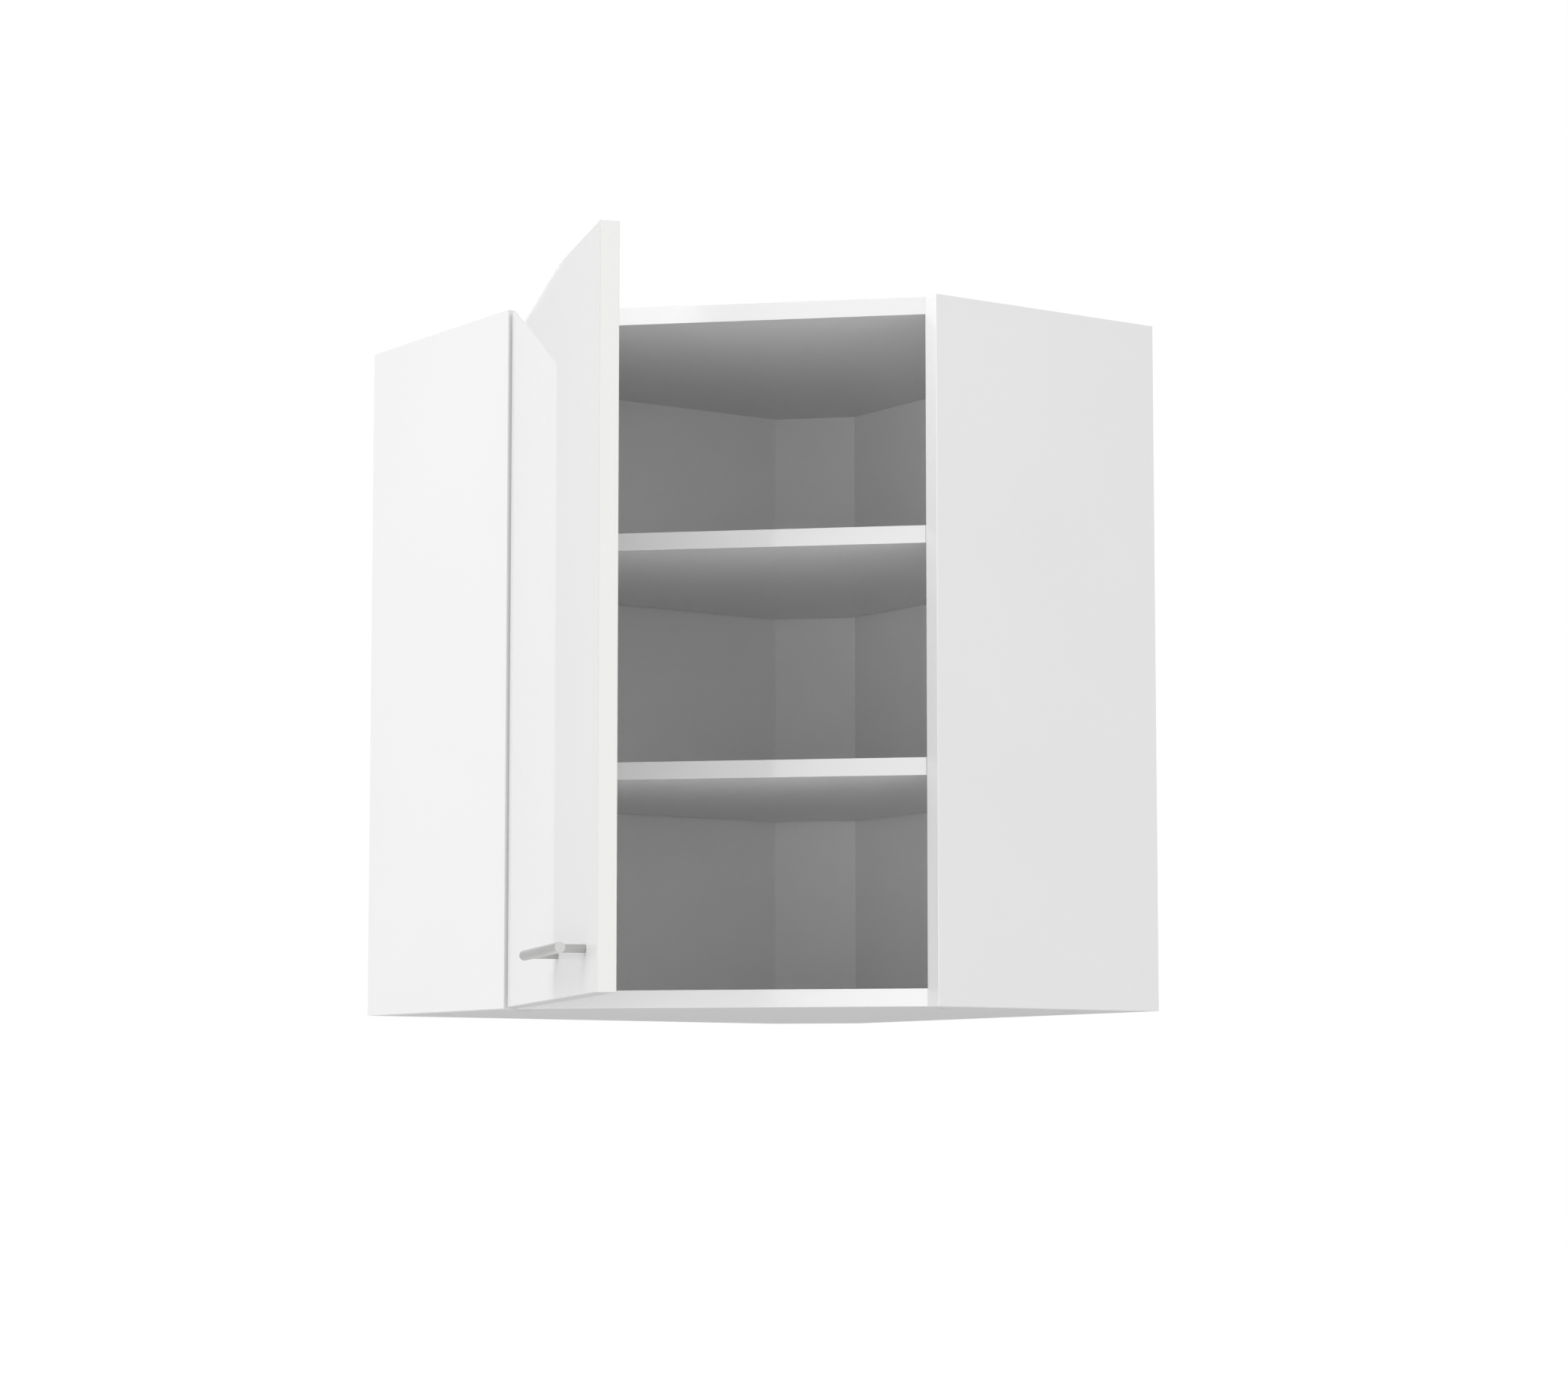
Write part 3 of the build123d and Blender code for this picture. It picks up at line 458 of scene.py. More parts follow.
def together(*shapes):
    """Several shapes as one: the points of each follow those of the one before."""
    points, faces, start = [], [], 0
    for more_points, more_faces in shapes:
        points.append(np.asarray(more_points, float))
        faces += [[start + v for v in face] for face in more_faces]
        start += len(more_points)
    return np.concatenate(points), faces


def moved(shape, rule):
    """A shape with its (n, 3) points taken through a rule."""
    return rule(np.asarray(shape[0], float)), shape[1]


def aimed(shape, origin, along):
    """A shape whose own +Z now points along a direction, from origin: point = o + x u + y v + z w."""
    w = np.array(along, float) / np.linalg.norm(along)
    u = np.cross((0, 0, 1), w) if abs(w[2]) < 0.99 else np.array((1.0, 0, 0))
    u /= np.linalg.norm(u)
    axes = np.array([u, np.cross(w, u), w])
    return moved(shape, lambda p: np.array(origin, float) + p @ axes)


def repeated(shape, places, along=(0, 1, 0)):
    """One shape at several places, its own +Z along a direction, as one shape."""
    return together(*[aimed(shape, place, along) for place in places])


def stood(shape, place, order=(0, 2, 1)):
    """A flat shape stood up at a place: order says which of its own axes runs along x, y and z."""
    return moved(shape, lambda p: np.array(place, float) + p[:, order])


# %% [markdown]
# Outlines are flat (n, 2) arrays. A circle, a polygon with eased corners and a
# cross for the driver are all that the fittings need.

# %% Outlines
def circle(radius, centre=(0, 0), count=48):
    """Points centre + radius (cos a, sin a), with a going once round."""
    a = np.arange(count) / count * 2 * math.pi
    return np.column_stack([centre[0] + radius * np.cos(a), centre[1] + radius * np.sin(a)])


def rounded(corners, radius, count=6):
    """A polygon with soft corners: corner + (1-s)^2 radius a + s^2 radius b, where a and b point along the
    corner's two sides and s runs from 0 to 1."""
    p = np.asarray(corners, float)
    a, b = np.roll(p, 1, axis=0) - p, np.roll(p, -1, axis=0) - p
    a, b = [v / np.linalg.norm(v, axis=1, keepdims=True) for v in (a, b)]
    s = np.linspace(0, 1, count)[None, :, None]
    return (p[:, None] + radius * ((1 - s) ** 2 * a[:, None] + s ** 2 * b[:, None])).reshape(-1, 2)


def box_outline(x0, x1, y0, y1):
    """Four corners, anticlockwise."""
    return [(x0, y0), (x1, y0), (x1, y1), (x0, y1)]


def cross(reach, width):
    """Twelve corners of a plus sign, anticlockwise."""
    r, w = reach, width / 2
    return np.array([(r, -w), (r, w), (w, w), (w, r), (-w, r), (-w, w),
                     (-r, w), (-r, -w), (-w, -w), (-w, -r), (w, -r), (w, -w)])


def lift(outline, height):
    """An outline as a loop at one height."""
    return np.column_stack([outline, np.full(len(outline), float(height))])


def inset(outline, amount):
    """An anticlockwise outline moved inwards: each corner goes along the mitre of its two sides."""
    ahead = np.roll(outline, -1, axis=0) - outline
    ahead = ahead / np.maximum(1e-9, np.linalg.norm(ahead, axis=1, keepdims=True))
    normal = np.column_stack([-ahead[:, 1], ahead[:, 0]])
    both = normal + np.roll(normal, 1, axis=0)
    return outline + amount * both / np.maximum(0.5, (both ** 2).sum(axis=1, keepdims=True) / 2)


# %% [markdown]
# Most fittings are flat plates with eased edges, turned parts, or a section
# carried along a line. The eased edge is a quarter circle between wall and cap.
# It is what catches the light on a real stamped or turned part.

# %% Plates and turned parts
QUARTER = np.linspace(0, math.pi / 2, 4)


def quarter(radius):
    """Steps round a quarter circle as pairs: in by radius (1 - sin a), up by radius (1 - cos a)."""
    return [(radius * (1 - math.sin(a)), radius * (1 - math.cos(a))) for a in QUARTER]


def eased(outline, low, high, ease, outwards=False):
    """Loops of a plate's wall: a quarter circle up from its lower cap, and the same mirrored at its top."""
    side = -1 if outwards else 1
    lower = [lift(inset(outline, side * into), low + up) for into, up in quarter(ease)]
    upper = [lift(inset(outline, side * into), high - up) for into, up in reversed(quarter(ease))]
    return np.array(lower + upper)


def plate(outline, low, high, ease=0.2, holes=()):
    """A flat plate with through holes; the edges of the plate and of its holes are eased."""
    outer = eased(np.asarray(outline, float), low, high, ease)
    bores = [eased(hole, low, high, min(ease, 0.15), outwards=True) for hole in holes]
    return together(walls(outer), *[walls(b) for b in bores],
                    cap(outer[0], [b[0] for b in bores]), cap(outer[-1], [b[-1] for b in bores]))


def turned(profile, count=48, ring=False):
    """Pairs of height z and radius r turned about +Z: (r cos a, r sin a, z). A radius of 0 closes an end in a
    pole, and ring closes a tube."""
    z, r = np.asarray(profile, float).T
    a = np.arange(count) / count * 2 * math.pi
    loops = np.stack([np.outer(r, np.cos(a)), np.outer(r, np.sin(a)), np.outer(z, np.ones(count))], axis=-1)
    return walls(loops, ring)


def bar(radius, low, high, ease, count=48):
    """A round bar along +Z with eased ends."""
    profile = [(low, 0.0)] + [(low + up, radius - into) for into, up in quarter(ease)]
    profile += [(high - up, radius - into) for into, up in reversed(quarter(ease))] + [(high, 0.0)]
    return turned(profile, count)


# %% [markdown]
# Screws are alike in their shares: a domed head with a flat middle, a cross that
# gets narrower as it goes down, and a thread whose depth is about a tenth of the
# shank's radius. So one function makes all of them from four sizes.

# %% Screws
HEAD_FLAT, HEAD_CROWN, SEAT_CHAMFER = 0.7, 0.45, 0.15
CROSS_REACH, CROSS_WIDTH, CROSS_FOOT = 0.6, 0.26, 0.2
THREAD_PITCH, THREAD_MIDDLE, THREAD_SWING = 0.6, 0.89, 0.11


def screw(head_radius, head, shank_radius, length, blunt=False):
    """A pan-head screw with its seat at z = 0 and its shank along -Z. The head's rim rises as a quarter of
    an ellipse, a cross tapers down into it, and the shank's radius is a cosine of the thread's turns. A wood
    screw ends in a point, a blunt machine screw in a flat face."""
    t = np.linspace(0, math.pi / 2, 6)
    crown = HEAD_CROWN * head
    rim = [(0.0, head_radius - SEAT_CHAMFER), (SEAT_CHAMFER, head_radius)]
    dome = head_radius * (HEAD_FLAT + (1 - HEAD_FLAT) * np.cos(t))
    rim += list(zip(head - crown + crown * np.sin(t), dome))
    pitch = THREAD_PITCH * shank_radius
    z = np.arange(0, length - (0.2 if blunt else shank_radius), pitch / 4)
    thread = shank_radius * (THREAD_MIDDLE + THREAD_SWING * np.cos(z / pitch * 2 * math.pi))
    tip = [(-length, 0.0), (-length, 0.75 * shank_radius)] if blunt else [(-length, 0.0)]
    shank = tip + list(zip(-z[::-1], thread[::-1]))
    top = lift(circle(head_radius * HEAD_FLAT), head)
    mouth = lift(cross(CROSS_REACH * head_radius, CROSS_WIDTH * head_radius), head)
    foot = lift(cross(0.4 * CROSS_REACH * head_radius, CROSS_FOOT * head_radius), 0.35 * head)
    return together(turned(shank + rim), cap(top, [mouth]), walls([mouth, foot]), cap(foot))


# %% [markdown]
# A finished shape becomes a piece: merged, turned outwards, put on its body and
# set in place of the CAD node that it dresses. Edges sharper than 35 degrees
# stay crisp and the rest are shaded smooth.

# %% From shape to piece
CREASE = math.radians(35)


def piece(name, shape, look, node, body):
    """Makes the mesh, merges points that meet, turns faces outwards and lets it stand for its CAD node."""
    points, faces = shape
    mesh = bpy.data.meshes.new(name)
    mesh.from_pydata((np.asarray(points) * MM).tolist(), [], faces)
    work = bmesh.new()
    work.from_mesh(mesh)
    bmesh.ops.remove_doubles(work, verts=work.verts, dist=1e-6)
    bmesh.ops.dissolve_degenerate(work, edges=work.edges, dist=1e-7)
    bmesh.ops.recalc_face_normals(work, faces=work.faces)
    open_edges = sum(len(edge.link_faces) != 2 for edge in work.edges)
    work.to_mesh(mesh)
    work.free()
    mesh.shade_smooth()
    mesh.set_sharp_from_angle(angle=CREASE)
    mesh.materials.append(look)
    made = bpy.data.objects.new(name, mesh)
    bpy.context.scene.collection.objects.link(made)
    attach(made, body)
    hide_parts(node)
    low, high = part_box(node)
    size = np.array(made.bound_box)
    off = np.abs(np.array([size.min(axis=0), size.max(axis=0)]) - np.array([low, high])).max()
    print(f"{name}: {len(mesh.polygons)} faces, {open_edges} open edges, its box off by {off / MM:.2f} mm")


# %% [markdown]
# ## Two frames to build in
# The front runs at 45 degrees, so the door and its hinges are drawn in a frame
# of their own: x along the front, y inwards, z up, with the door closed. One
# rule brings that frame to the room, and a turn about the hinge pin then opens
# the door. The right side of the cabinet is the left side mirrored.

# %% Frames of the front and the door
INNER = -(WALL_WIDTH - BOARD)  # the left side panel's inner face
DOOR_SIDE, DOOR_LOW, DOOR_HIGH, DOOR_BOARD = 6.75, 1.0, 717.0, 19.0
DOOR_END = (WALL_WIDTH - SIDE_DEPTH) * math.sqrt(2) - DOOR_SIDE
PIN_IN, PIN_AHEAD = 13.9, 7.1  # from the closed door's edge and from its back
PIN_X, PIN_Y = DOOR_SIDE + PIN_IN, -PIN_AHEAD
DOOR_OPEN = math.radians(DOOR_ANGLE)
HINGE_LEVELS = {"upper": DOOR_HIGH - 100.0, "lower": DOOR_LOW + 100.0}


def on_front(p):
    """Front's frame to the room: front corner + x (1, 1)/sqrt 2 + y (-1, 1)/sqrt 2, z kept."""
    x, y, z = p.T
    s = 1 / math.sqrt(2)
    return np.column_stack([SIDE_DEPTH + s * (x - y), -WALL_WIDTH + s * (x + y), z])


PIN = on_front(np.array([[PIN_X, PIN_Y, 0.0]]))[0]
print("hinge pins stand at", PIN.round(2), "mm")


def on_door(p):
    """Front's frame to the open door: to the room, then turned by -65 degrees about the pin."""
    x, y, z = (on_front(p) - PIN).T
    c, s = math.cos(DOOR_OPEN), math.sin(DOOR_OPEN)
    return np.column_stack([c * x + s * y, -s * x + c * y, z]) + PIN


def across(p):
    """Left side to right side: x and y change places and sign."""
    return np.column_stack([-p[:, 1], -p[:, 0], p[:, 2]])


def both_sides(shape):
    """A fitting on the left side panel and its mirror image on the right one."""
    return together(shape, moved(shape, across))


# %% [markdown]
# ## Handle
# The handle is a round bar across two posts, which stand on the door's face.
# Bar and posts are turned and cut from rod, so their ends are flat with a fine
# chamfer. The door's frame gives their places, and the bar is a turned shape
# whose axis is laid along the front.

# %% Handle bar, posts and screws
HANDLE_Z = DOOR_LOW + 42.0
POST_EDGE, POST_SPACING = 49.0, 128.0
POSTS = (DOOR_END - POST_EDGE, DOOR_END - POST_EDGE - POST_SPACING)
BAR_RADIUS, BAR_HALF, BAR_STAND_OFF = 5.0, 86.0, 28.0
POST_RADIUS, POST_LENGTH = 4.0, 26.0
HANDLE_SCREW = screw(4.0, 2.4, 2.0, 28.0, blunt=True)

middle = (sum(POSTS) / 2, -DOOR_BOARD - BAR_STAND_OFF, HANDLE_Z)
handle_bar = aimed(bar(BAR_RADIUS, -BAR_HALF, BAR_HALF, 0.6, 64), middle, (1, 0, 0))
post = bar(POST_RADIUS, 0.0, POST_LENGTH, 0.25)
posts = repeated(post, [(x, -DOOR_BOARD, HANDLE_Z) for x in POSTS], (0, -1, 0))
screws = repeated(HANDLE_SCREW, [(x, 0, HANDLE_Z) for x in POSTS])
piece("turned_handle_bar", moved(handle_bar, on_door), HANDLE, "handle_bar", "door")
piece("turned_handle_posts", moved(posts, on_door), POST, "handle_posts", "door")
piece("handle_cross_screws", moved(screws, on_door), ZINC, "handle_screws", "door")

# %% [markdown]
# ## Hinges
# A concealed hinge has a pressed cup let into the door's back, an arm bent from
# thick sheet, a pin on which the two turn, and a plate on the side panel. The
# cup's flange is a round disc with two screw ears. Seen from a point inside
# both, its edge is the larger of the disc's and the ears' distances.

# %% Hinge cups
CUP_X, CUP_RADIUS, CUP_DEEP, FLANGE = DOOR_SIDE + 22.5, 17.45, 12.45, 1.2
EAR_OFF, EAR_HALF, EAR_RADIUS, DISC = 9.5, 22.5, 6.5, 19.0
POCKET = (-15.4, 15.4, -6.2, 6.2)  # the opening in the flange, in which the arm moves


def flange_outline(count=144):
    """From (6, 0), in each direction, the farther of a circle's edge and a rounded bar's edge."""
    a = np.arange(count) / count * 2 * math.pi
    d = np.column_stack([np.cos(a), np.sin(a)])
    start = np.array([6.0, 0.0])

    def to_circle(centre, radius):
        off = start - centre
        along = d @ off
        inside = along ** 2 - off @ off + radius ** 2
        return np.where(inside > 0, -along + np.sqrt(np.maximum(inside, 0)), 0)

    side = np.where(d[:, 0] > 0, EAR_OFF + EAR_RADIUS - start[0], start[0] - EAR_OFF + EAR_RADIUS)
    straight = side / np.maximum(1e-9, np.abs(d[:, 0]))
    straight = np.where(np.abs(straight * d[:, 1]) <= EAR_HALF, straight, 0)
    ends = [to_circle(np.array([EAR_OFF, end]), EAR_RADIUS) for end in (EAR_HALF, -EAR_HALF)]
    reach = np.maximum.reduce([to_circle(np.zeros(2), DISC), straight, *ends])
    return start + d * reach[:, None]


def hinge_cup(level):
    """Flange, bowl and pocket in one skin, drawn flat with the bowl downwards."""
    pocket = rounded(box_outline(*POCKET), 2.6)
    holes = [circle(1.85, (EAR_OFF, side * EAR_HALF), 24) for side in (-1, 1)]
    bores = [eased(hole, 0, FLANGE, 0.1, outwards=True) for hole in holes]
    outer = eased(flange_outline(), 0, FLANGE, 0.35)
    lips = [lift(inset(pocket, -out), FLANGE - down) for out, down in quarter(0.5)]
    well = lips + [lift(pocket, 1.5 - CUP_DEEP), lift(inset(pocket, 0.9), 1.1 - CUP_DEEP)]
    bowl = [lift(circle(CUP_RADIUS), 0)]
    bowl += [lift(circle(CUP_RADIUS - into), up - CUP_DEEP) for up, into in quarter(1.6)]
    shape = together(walls(outer), cap(outer[-1], [lips[0], *[b[-1] for b in bores]]),
                     cap(outer[0], [bowl[0], *[b[0] for b in bores]]), *[walls(b) for b in bores],
                     walls(well), cap(well[-1]), walls(bowl), cap(bowl[-1]))
    return moved(stood(shape, (CUP_X, 0, level)), on_door)


for name, level in HINGE_LEVELS.items():
    piece(f"{name}_pressed_hinge_cup", hinge_cup(level),
          NICKEL, f"{name}_hinge_cup", "door")

# %% [markdown]
# The arm is a strip that runs forward over the plate, turns round a bend and
# comes back to the pin in the cup. Its section, a flat bar with soft edges, is
# carried along that line and gets narrower in front. Two cheeks stand down
# beside the plate, and a rolled eye holds the pin.

# %% Hinge arms
ARM_LOW = PIN[1] + math.hypot(PIN_IN, PIN_AHEAD) + 0.9  # clear of the door's back corner as it turns
ARM_HIGH = ARM_LOW + 2.0
ARM_MIDDLE = (ARM_LOW + ARM_HIGH) / 2
LEG = math.radians(69)
BEND_X = PIN[0] + (ARM_MIDDLE - PIN[1]) / math.tan(LEG)
NOSE_HALF, ARM_HALF, ARM_REAR = 5.7, 7.0, SIDE_DEPTH - 66.0
STRIP = ((ARM_REAR, 5.0), (ARM_REAR + 0.4, 5.9), (ARM_REAR + 1.2, 6.6), (ARM_REAR + 2.6, ARM_HALF),
         (SIDE_DEPTH - 6, ARM_HALF), (SIDE_DEPTH - 3, 6.5), (SIDE_DEPTH, NOSE_HALF))   # x and half width


def arm_strip(level):
    """Stations along the arm: straight, round the bend by angle a as centre + (cos a, sin a), and down the
    leg. At each, the section's width lies across z and its thickness along the line's normal."""
    lean = LEG - math.pi / 2
    setback = math.tan((math.pi - LEG) / 2)
    centre = np.array([BEND_X - setback, ARM_MIDDLE - 1.0])
    xs, halves = np.array(STRIP).T
    a = np.linspace(math.pi / 2, lean, 9)
    arc = centre + np.column_stack([np.cos(a), np.sin(a)])
    down = -np.array([math.cos(LEG), math.sin(LEG)])
    leg = arc[-1] + down * np.linspace(1.0, np.linalg.norm(arc[-1] - PIN[:2]) - 2.0, 6)[:, None]
    path = np.concatenate([np.column_stack([xs, np.full(len(xs), ARM_MIDDLE)]), arc, leg])
    normal = np.concatenate([np.tile([0.0, 1.0], (len(xs), 1)), arc - centre,
                             np.tile(arc[-1] - centre, (len(leg), 1))])
    half = np.concatenate([halves, np.full(len(arc) + len(leg), NOSE_HALF)])
    section = rounded(box_outline(-1, 1, -1, 1), 0.35)
    wide = section[None, :, 0] + np.sign(section[None, :, 0]) * (half[:, None] - 1)
    flat = path[:, None, :] + normal[:, None, :] * section[None, :, 1:]
    loops = np.concatenate([flat, level + wide[:, :, None]], axis=-1)
    return together(walls(loops), cap(loops[0]), cap(loops[-1]))


def arm_cheek(low, high):
    """One side of the channel: its lower edge runs along the plate and rises to the strip in front."""
    rear, fore, y0, y1 = ARM_REAR + 0.3, SIDE_DEPTH - 14.0, INNER + 2.1, ARM_HIGH - 0.3
    corners = [(rear, y0 + 1.5), (ARM_REAR + 1.8, y0), (fore - 9, y0),
               (fore, ARM_LOW + 0.4), (fore, y1), (rear, y1)]
    return plate(rounded(corners, 0.5), low, high, 0.25)


def arm_eye(level):
    """The rolled end round the pin: a tube turned from a closed ring of heights and radii."""
    half, e = NOSE_HALF, 0.4
    ring = [(-half + e, 3.8), (half - e, 3.8), (half, 3.8 - e), (half, 1.6), (-half, 1.6), (-half, 3.8 - e)]
    return moved(turned(ring, 40, ring=True), lambda p: p + np.array([PIN[0], PIN[1], level]))


for name, level in HINGE_LEVELS.items():
    cheeks = [arm_cheek(level + z, level + z + 1.5) for z in (-ARM_HALF, ARM_HALF - 1.5)]
    piece(f"{name}_bent_hinge_arm", together(arm_strip(level), *cheeks, arm_eye(level)),
          NICKEL, f"{name}_hinge_arm", "carcase")

# %% [markdown]
# The mounting plate is a cross-shaped foot with a rib on it that carries the
# arm. The screws have pan heads with a tapered cross, and the pins are plain
# ground rod.

# %% Hinge plates, pins and screws
PLATE_X = SIDE_DEPTH - 37.0
FOOT_THICK, FOOT_HOLE = 2.0, 16.0
FOOT = ((17, -9), (17, 9), (7, 9), (7, 24), (-7, 24), (-7, 9),
        (-25, 9), (-25, -9), (-7, -9), (-7, -24), (7, -24), (7, -9))
ARM_SCREWS = (28.0, 52.0)  # behind the side panel's front edge

for name, level in HINGE_LEVELS.items():
    holes = [circle(2.6, (0, side * FOOT_HOLE), 32) for side in (-1, 1)]
    foot = plate(rounded(FOOT, 3.5), 0, FOOT_THICK, 0.3, holes)
    rib = plate(rounded(box_outline(-25, 17, -5.3, 5.3), 1.2), 1.9, ARM_LOW - INNER, 0.4)
    piece(f"{name}_cast_hinge_plate", stood(together(foot, rib), (PLATE_X, INNER, level)),
          NICKEL, f"{name}_hinge_plate", "carcase")

levels = list(HINGE_LEVELS.values())
ends = [(z, side) for z in levels for side in (-1, 1)]
pins = repeated(bar(1.5, -12, 12, 0.2, 32), [(PIN_X, PIN_Y, z) for z in levels], (0, 0, 1))
cup_screws = repeated(screw(3.5, 1.8, 1.75, 12),
                      [(CUP_X + EAR_OFF, FLANGE, z + side * EAR_HALF) for z, side in ends])
plate_screws = repeated(screw(3.75, 1.8, 2.5, 11),
                        [(PLATE_X, INNER + FOOT_THICK, z + side * FOOT_HOLE) for z, side in ends])
arm_screws = repeated(screw(3.5, 1.6, 2.0, 7),
                      [(SIDE_DEPTH - back, ARM_HIGH, z) for z in levels for back in ARM_SCREWS])
piece("ground_hinge_pins", moved(pins, on_door), NICKEL, "hinge_pins", "door")
piece("cross_cup_screws", moved(cup_screws, on_door), ZINC, "hinge_cup_screws", "door")
piece("cross_plate_screws", plate_screws, ZINC, "hinge_plate_screws", "carcase")
piece("cross_arm_screws", arm_screws, ZINC, "hinge_arm_screws", "carcase")

# %% [markdown]
# ## Shelf supports
# Each shelf lies on four bent steel angles whose pegs plug into rows of holes.
# The angle is a bent section with soft bends, as thick as its sheet.

# %% Shelf supports
SUPPORT_X = (SIDE_DEPTH - 37.0, 64.0)


def shelf_support(x, level):
    """An L in (y, z) below the shelf, 10 mm wide along x, and a peg into the side panel."""
    bent = [(0, -14), (1.5, -14), (1.5, -1.5), (9, -1.5), (9, 0), (0, 0)]
    angle = stood(plate(rounded(bent, 0.6), -5, 5, 0.3), (x, INNER, level), (2, 0, 1))
    peg = aimed(bar(2.5, -0.5, 8, 0.6, 32), (x, INNER, level - 7), (0, -1, 0))
    return together(angle, peg)


supports = together(*[shelf_support(x, z) for z in SHELF_LEVELS for x in SUPPORT_X])
piece("bent_shelf_supports", both_sides(supports), NICKEL, "shelf_supports", "carcase")

# %% [markdown]
# ## Joints of the boards
# Beech dowels with pressed flutes and zinc cams hold the boards together. The
# flutes are a cosine round the dowel, and they let air and glue out of the hole.

# %% Dowels and cams
SLAB_LEVELS = (BOARD / 2, HEIGHT - BOARD / 2)
DOWEL_BACK, CAM_BACK = (80.0, 176.0), (48.0, 208.0)  # behind the side panel's front edge


def fluted_dowel(flutes=20):
    """Radius 4 less 0.14 (1 + cos(flutes a)) in the middle, and plain cones at both ends."""
    a = np.arange(6 * flutes) / (6 * flutes) * 2 * math.pi
    rows = [(0, 0, 0), (0, 2.9, 0), (1.4, 3.9, 0), (2.2, 4.0, 0.14),
            (27.8, 4.0, 0.14), (28.6, 3.9, 0), (30, 2.9, 0), (30, 0, 0)]
    z, r, groove = np.array(rows, float).T
    radius = np.maximum(0, r[:, None] - groove[:, None] * (1 + np.cos(flutes * a)))
    return walls(np.stack([radius * np.cos(a), radius * np.sin(a), np.outer(z, np.ones(len(a)))], axis=-1))


dowels = repeated(fluted_dowel(),
                  [(SIDE_DEPTH - back, INNER - 11.0, z) for z in SLAB_LEVELS for back in DOWEL_BACK])
piece("fluted_beech_dowels", both_sides(dowels), BEECH, "carcase_dowels", "carcase")


def cam():
    """A cast disc with a raised rim and a cross in its face, drawn with the face at z = 0."""
    rim = [(-12.5, 0.0), (-12.5, 7.1), (-12.1, 7.5), (-0.4, 7.5), (-0.1, 7.2), (-0.1, 6.6), (-0.5, 6.2)]
    mouth, foot = lift(cross(3.0, 1.2), -0.5), lift(cross(2.6, 1.0), -2.0)
    return together(turned(rim), cap(lift(circle(6.2), -0.5), [mouth]), walls([mouth, foot]), cap(foot))


cams = [aimed(cam(), (SIDE_DEPTH - back, INNER + 34.0, z), (0, 0, side))
        for back in CAM_BACK for z, side in ((0.0, -1), (HEIGHT, 1))]
piece("cast_cams", both_sides(together(*cams)), PAINTED, "cam_housings", "carcase")

# %% [markdown]
# ## Hanging fittings
# A hook bar leaves each housing through the back sheet and drops behind the lip
# of a bent steel plate that is screwed to the wall. Both are sheet steel, so
# they are drawn from the side as bent sections and given their width.

# %% Hooks and wall plates
HOOK_Z, HOOK_Y, LIP_Y = 675.0, INNER + 3.0, INNER + 1.5
PLATE_WIDE, PLATE_THICK, HOLE_APART = 60.0, 1.8, 32.0


def hanger_hook():
    """An L in (x, z): the bar inside and its tip behind the wall plate's lip."""
    corners = [(0.4, HOOK_Z - 9), (2.4, HOOK_Z - 9), (2.4, HOOK_Z),
               (40.5, HOOK_Z), (40.5, HOOK_Z + 5), (0.4, HOOK_Z + 5)]
    return stood(plate(rounded(corners, 0.9), 0, 7, 0.4), (0, HOOK_Y, 0))


def wall_plate():
    """A drilled flat plate, and above it a section in (x, z) that steps out and up into the lip."""
    holes = [circle(2.75, ((PLATE_WIDE + side * HOLE_APART) / 2, HOOK_Z - 32), 40) for side in (-1, 1)]
    sheet = rounded(box_outline(0, PLATE_WIDE, HOOK_Z - 50, HOOK_Z - 12.5), 2.0)
    step = [(0, HOOK_Z - 16), (PLATE_THICK, HOOK_Z - 16), (PLATE_THICK, HOOK_Z - 13.8), (4.6, HOOK_Z - 13.8),
            (4.6, HOOK_Z), (2.8, HOOK_Z), (2.8, HOOK_Z - 12), (0, HOOK_Z - 12)]
    return together(stood(plate(sheet, 0, PLATE_THICK, 0.25, holes), (0, LIP_Y, 0), (2, 0, 1)),
                    stood(plate(rounded(step, 0.5), 0.2, PLATE_WIDE - 0.2, 0.25), (0, LIP_Y, 0)))


for side, rule in (("left", lambda p: p), ("right", across)):
    piece(f"{side}_bent_hanger_hook", moved(hanger_hook(), rule),
          ZINC, f"{side}_hanger_hook", "carcase")
    piece(f"{side}_bent_wall_plate", moved(wall_plate(), rule),
          ZINC, f"{side}_wall_plate", "carcase")

# %% [markdown]
# ## Studio
# A wall cabinet hangs about 1.4 m above the floor. The floor is a plain pale
# sheet there. What the camera and mirrors see of it and of the world is white,
# while the light that both send to the cabinet is set apart from that, so the
# background stays white without any more light on the object.

# %% Floor and world
FLOOR, AMBIENT, FLOOR_LIFT = -1.4, 0.97, 0.1
WHITE = (1, 1, 1, 1)


def sees_background(tree):
    """1 for camera, glossy and transmission rays, which show the plain background, and else 0."""
    path = add(tree, "ShaderNodeLightPath")
    shown = add(tree, "ShaderNodeMath", operation="MAXIMUM",
                links={0: path.outputs["Is Camera Ray"], 1: path.outputs["Is Glossy Ray"]})
    return add(tree, "ShaderNodeMath", operation="MAXIMUM",
               links={0: shown.outputs[0], 1: path.outputs["Is Transmission Ray"]}).outputs[0]


def sheet_object(name, centre, aside, up, wide, high):
    """A flat rectangle from its centre, two directions and two sizes."""
    c, u, v = Vector(centre), Vector(aside).normalized() * wide / 2, Vector(up).normalized() * high / 2
    mesh = bpy.data.meshes.new(name)
    mesh.from_pydata([c - u - v, c + u - v, c + u + v, c - u + v], [], [(0, 1, 2, 3)])
    made = bpy.data.objects.new(name, mesh)
    bpy.context.scene.collection.objects.link(made)
    return made


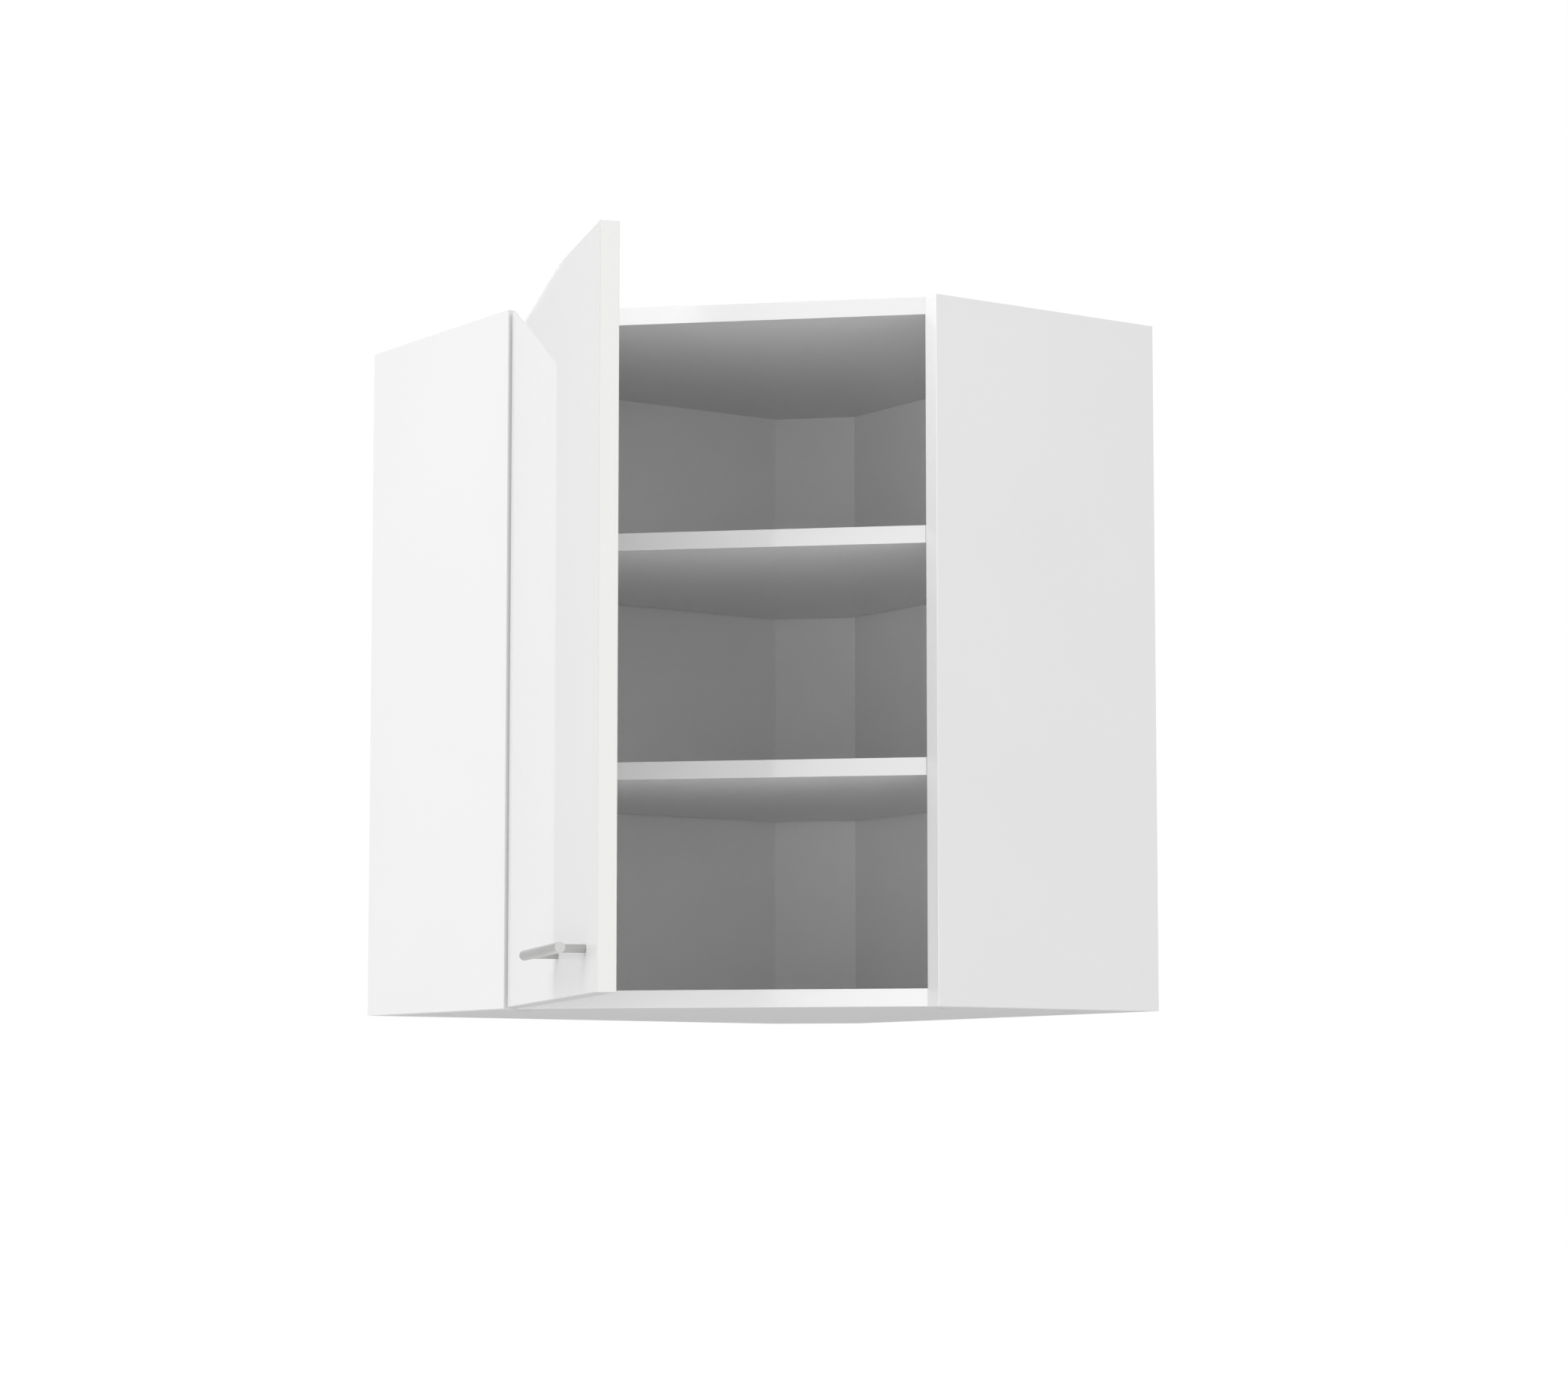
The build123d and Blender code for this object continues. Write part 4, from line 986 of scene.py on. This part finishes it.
def stage_material(name):
    """An empty node material for the studio."""
    made = bpy.data.materials.new(name)
    made.use_nodes = True
    made.node_tree.nodes.clear()
    return made, made.node_tree


def floor_material():
    """Three floors in one. Light bounces from a pale grey. The camera sees a white that keeps shadows, with a
    little light of its own so that it is still white far away. Mirrors see the background's plain white."""
    made, tree = stage_material("pale_floor")
    lit = add(tree, "ShaderNodeBsdfDiffuse", {"Color": linear("c8c8c8")})
    seen = add(tree, "ShaderNodeBsdfDiffuse", {"Color": linear("fafafa")})
    glow = add(tree, "ShaderNodeEmission", {"Color": WHITE, "Strength": FLOOR_LIFT})
    seen = add(tree, "ShaderNodeAddShader", links={0: seen.outputs[0], 1: glow.outputs[0]})
    plain = add(tree, "ShaderNodeEmission", {"Color": WHITE, "Strength": 1.0})
    camera_ray = add(tree, "ShaderNodeLightPath").outputs["Is Camera Ray"]
    shown = add(tree, "ShaderNodeMixShader", links={0: camera_ray, 1: plain.outputs[0], 2: seen.outputs[0]})
    mix = add(tree, "ShaderNodeMixShader",
              links={0: sees_background(tree), 1: lit.outputs[0], 2: shown.outputs[0]})
    add(tree, "ShaderNodeOutputMaterial", links={0: mix.outputs[0]})
    return made


floor = sheet_object("floor", (0, 0, FLOOR), (1, 0, 0), (0, 1, 0), 60, 60)
floor.data.materials.append(floor_material())

world = bpy.data.worlds.new("studio")
bpy.context.scene.world = world
world.use_nodes = True
tree = world.node_tree
tree.nodes.clear()
soft = add(tree, "ShaderNodeBackground", {"Color": WHITE, "Strength": AMBIENT})
white = add(tree, "ShaderNodeBackground", {"Color": WHITE, "Strength": 1.0})
mix = add(tree, "ShaderNodeMixShader",
          links={0: sees_background(tree), 1: soft.outputs[0], 2: white.outputs[0]})
add(tree, "ShaderNodeOutputWorld", links={0: mix.outputs[0]})

# %% [markdown]
# Three large soft boxes light the cabinet: a strong one high on the left, one
# low in front, which fills the undersides, and a weak one far to the left, for
# the face of the open door. A mirror would show them as hard white squares, so
# glossy surfaces don't see them. They see plain cards instead: a bright one in
# front, a small one above it for the top's front edge, a grey one beside the
# door, and a lit wall behind, whose edge the open door mirrors at its top.

# %% Soft boxes and mirror cards
CABINET_MIDDLE, STAND_OFF, BOX_SIZE = Vector((0.43, -0.43, 0.36)), 4.5, 2.4


def around(turn, rise):
    """A point round the cabinet: turn 0 is ahead of the left end panel, 90 ahead of the right one."""
    a, b = math.radians(turn), math.radians(rise)
    away = Vector((math.cos(b) * math.sin(a), -math.cos(b) * math.cos(a), math.sin(b)))
    return CABINET_MIDDLE + STAND_OFF * away


def softbox(name, place, radiance):
    """A square lamp that faces the cabinet; at radiance 1 its face is as bright as white paper."""
    lamp = bpy.data.lights.new(name, "AREA")
    lamp.shape = "RECTANGLE"
    lamp.size, lamp.size_y = BOX_SIZE, BOX_SIZE
    lamp.energy = radiance * math.pi * BOX_SIZE * BOX_SIZE
    made = bpy.data.objects.new(name, lamp)
    bpy.context.scene.collection.objects.link(made)
    made.matrix_world = facing(place, CABINET_MIDDLE - place)
    made.visible_camera = made.visible_glossy = False
    print(f"{name}: {lamp.energy:.0f} W at", tuple(round(v, 2) for v in place))


softbox("high_softbox", around(16, 35), 2.95)
softbox("low_softbox", around(45, -15), 2.4)
softbox("left_softbox", around(-35, 10), 0.8)


def mirror_card(name, centre, aside, up, wide, high, strength):
    """A card that only glossy surfaces show."""
    card = sheet_object(name, centre, aside, up, wide, high)
    made, tree = stage_material(name)
    glow = add(tree, "ShaderNodeEmission", {"Color": WHITE, "Strength": strength})
    add(tree, "ShaderNodeOutputMaterial", links={0: glow.outputs[0]})
    card.data.materials.append(made)
    for kind in ("camera", "diffuse", "transmission", "volume_scatter", "shadow"):
        setattr(card, "visible_" + kind, False)


def beside(turn):
    """The level direction to the right of a line of sight that comes from a turn."""
    return (math.cos(math.radians(turn)), math.sin(math.radians(turn)), 0)


UP = (0, 0, 1)
mirror_card("front_card", around(34, 1), beside(34), UP, 1.8, 1.45, 1.45)
mirror_card("high_card", around(26.6, 16.2), beside(26.6), UP, 1.0, 0.5, 2.6)
mirror_card("grey_flag", (-2.2, -0.6, 0.6), (0, 1, 0), UP, 3.0, 3.6, 0.60)
LIT_EDGE, LIT_SIDE = Vector((0.0, -0.519, 0.855)), Vector((0.0, 0.855, 0.519))
mirror_card("lit_wall", Vector((-2.0, -0.276, 1.245)) + LIT_SIDE * 0.4, LIT_SIDE, LIT_EDGE, 0.8, 0.8, 1.6)

bpy.context.scene.view_settings.view_transform = "Standard"
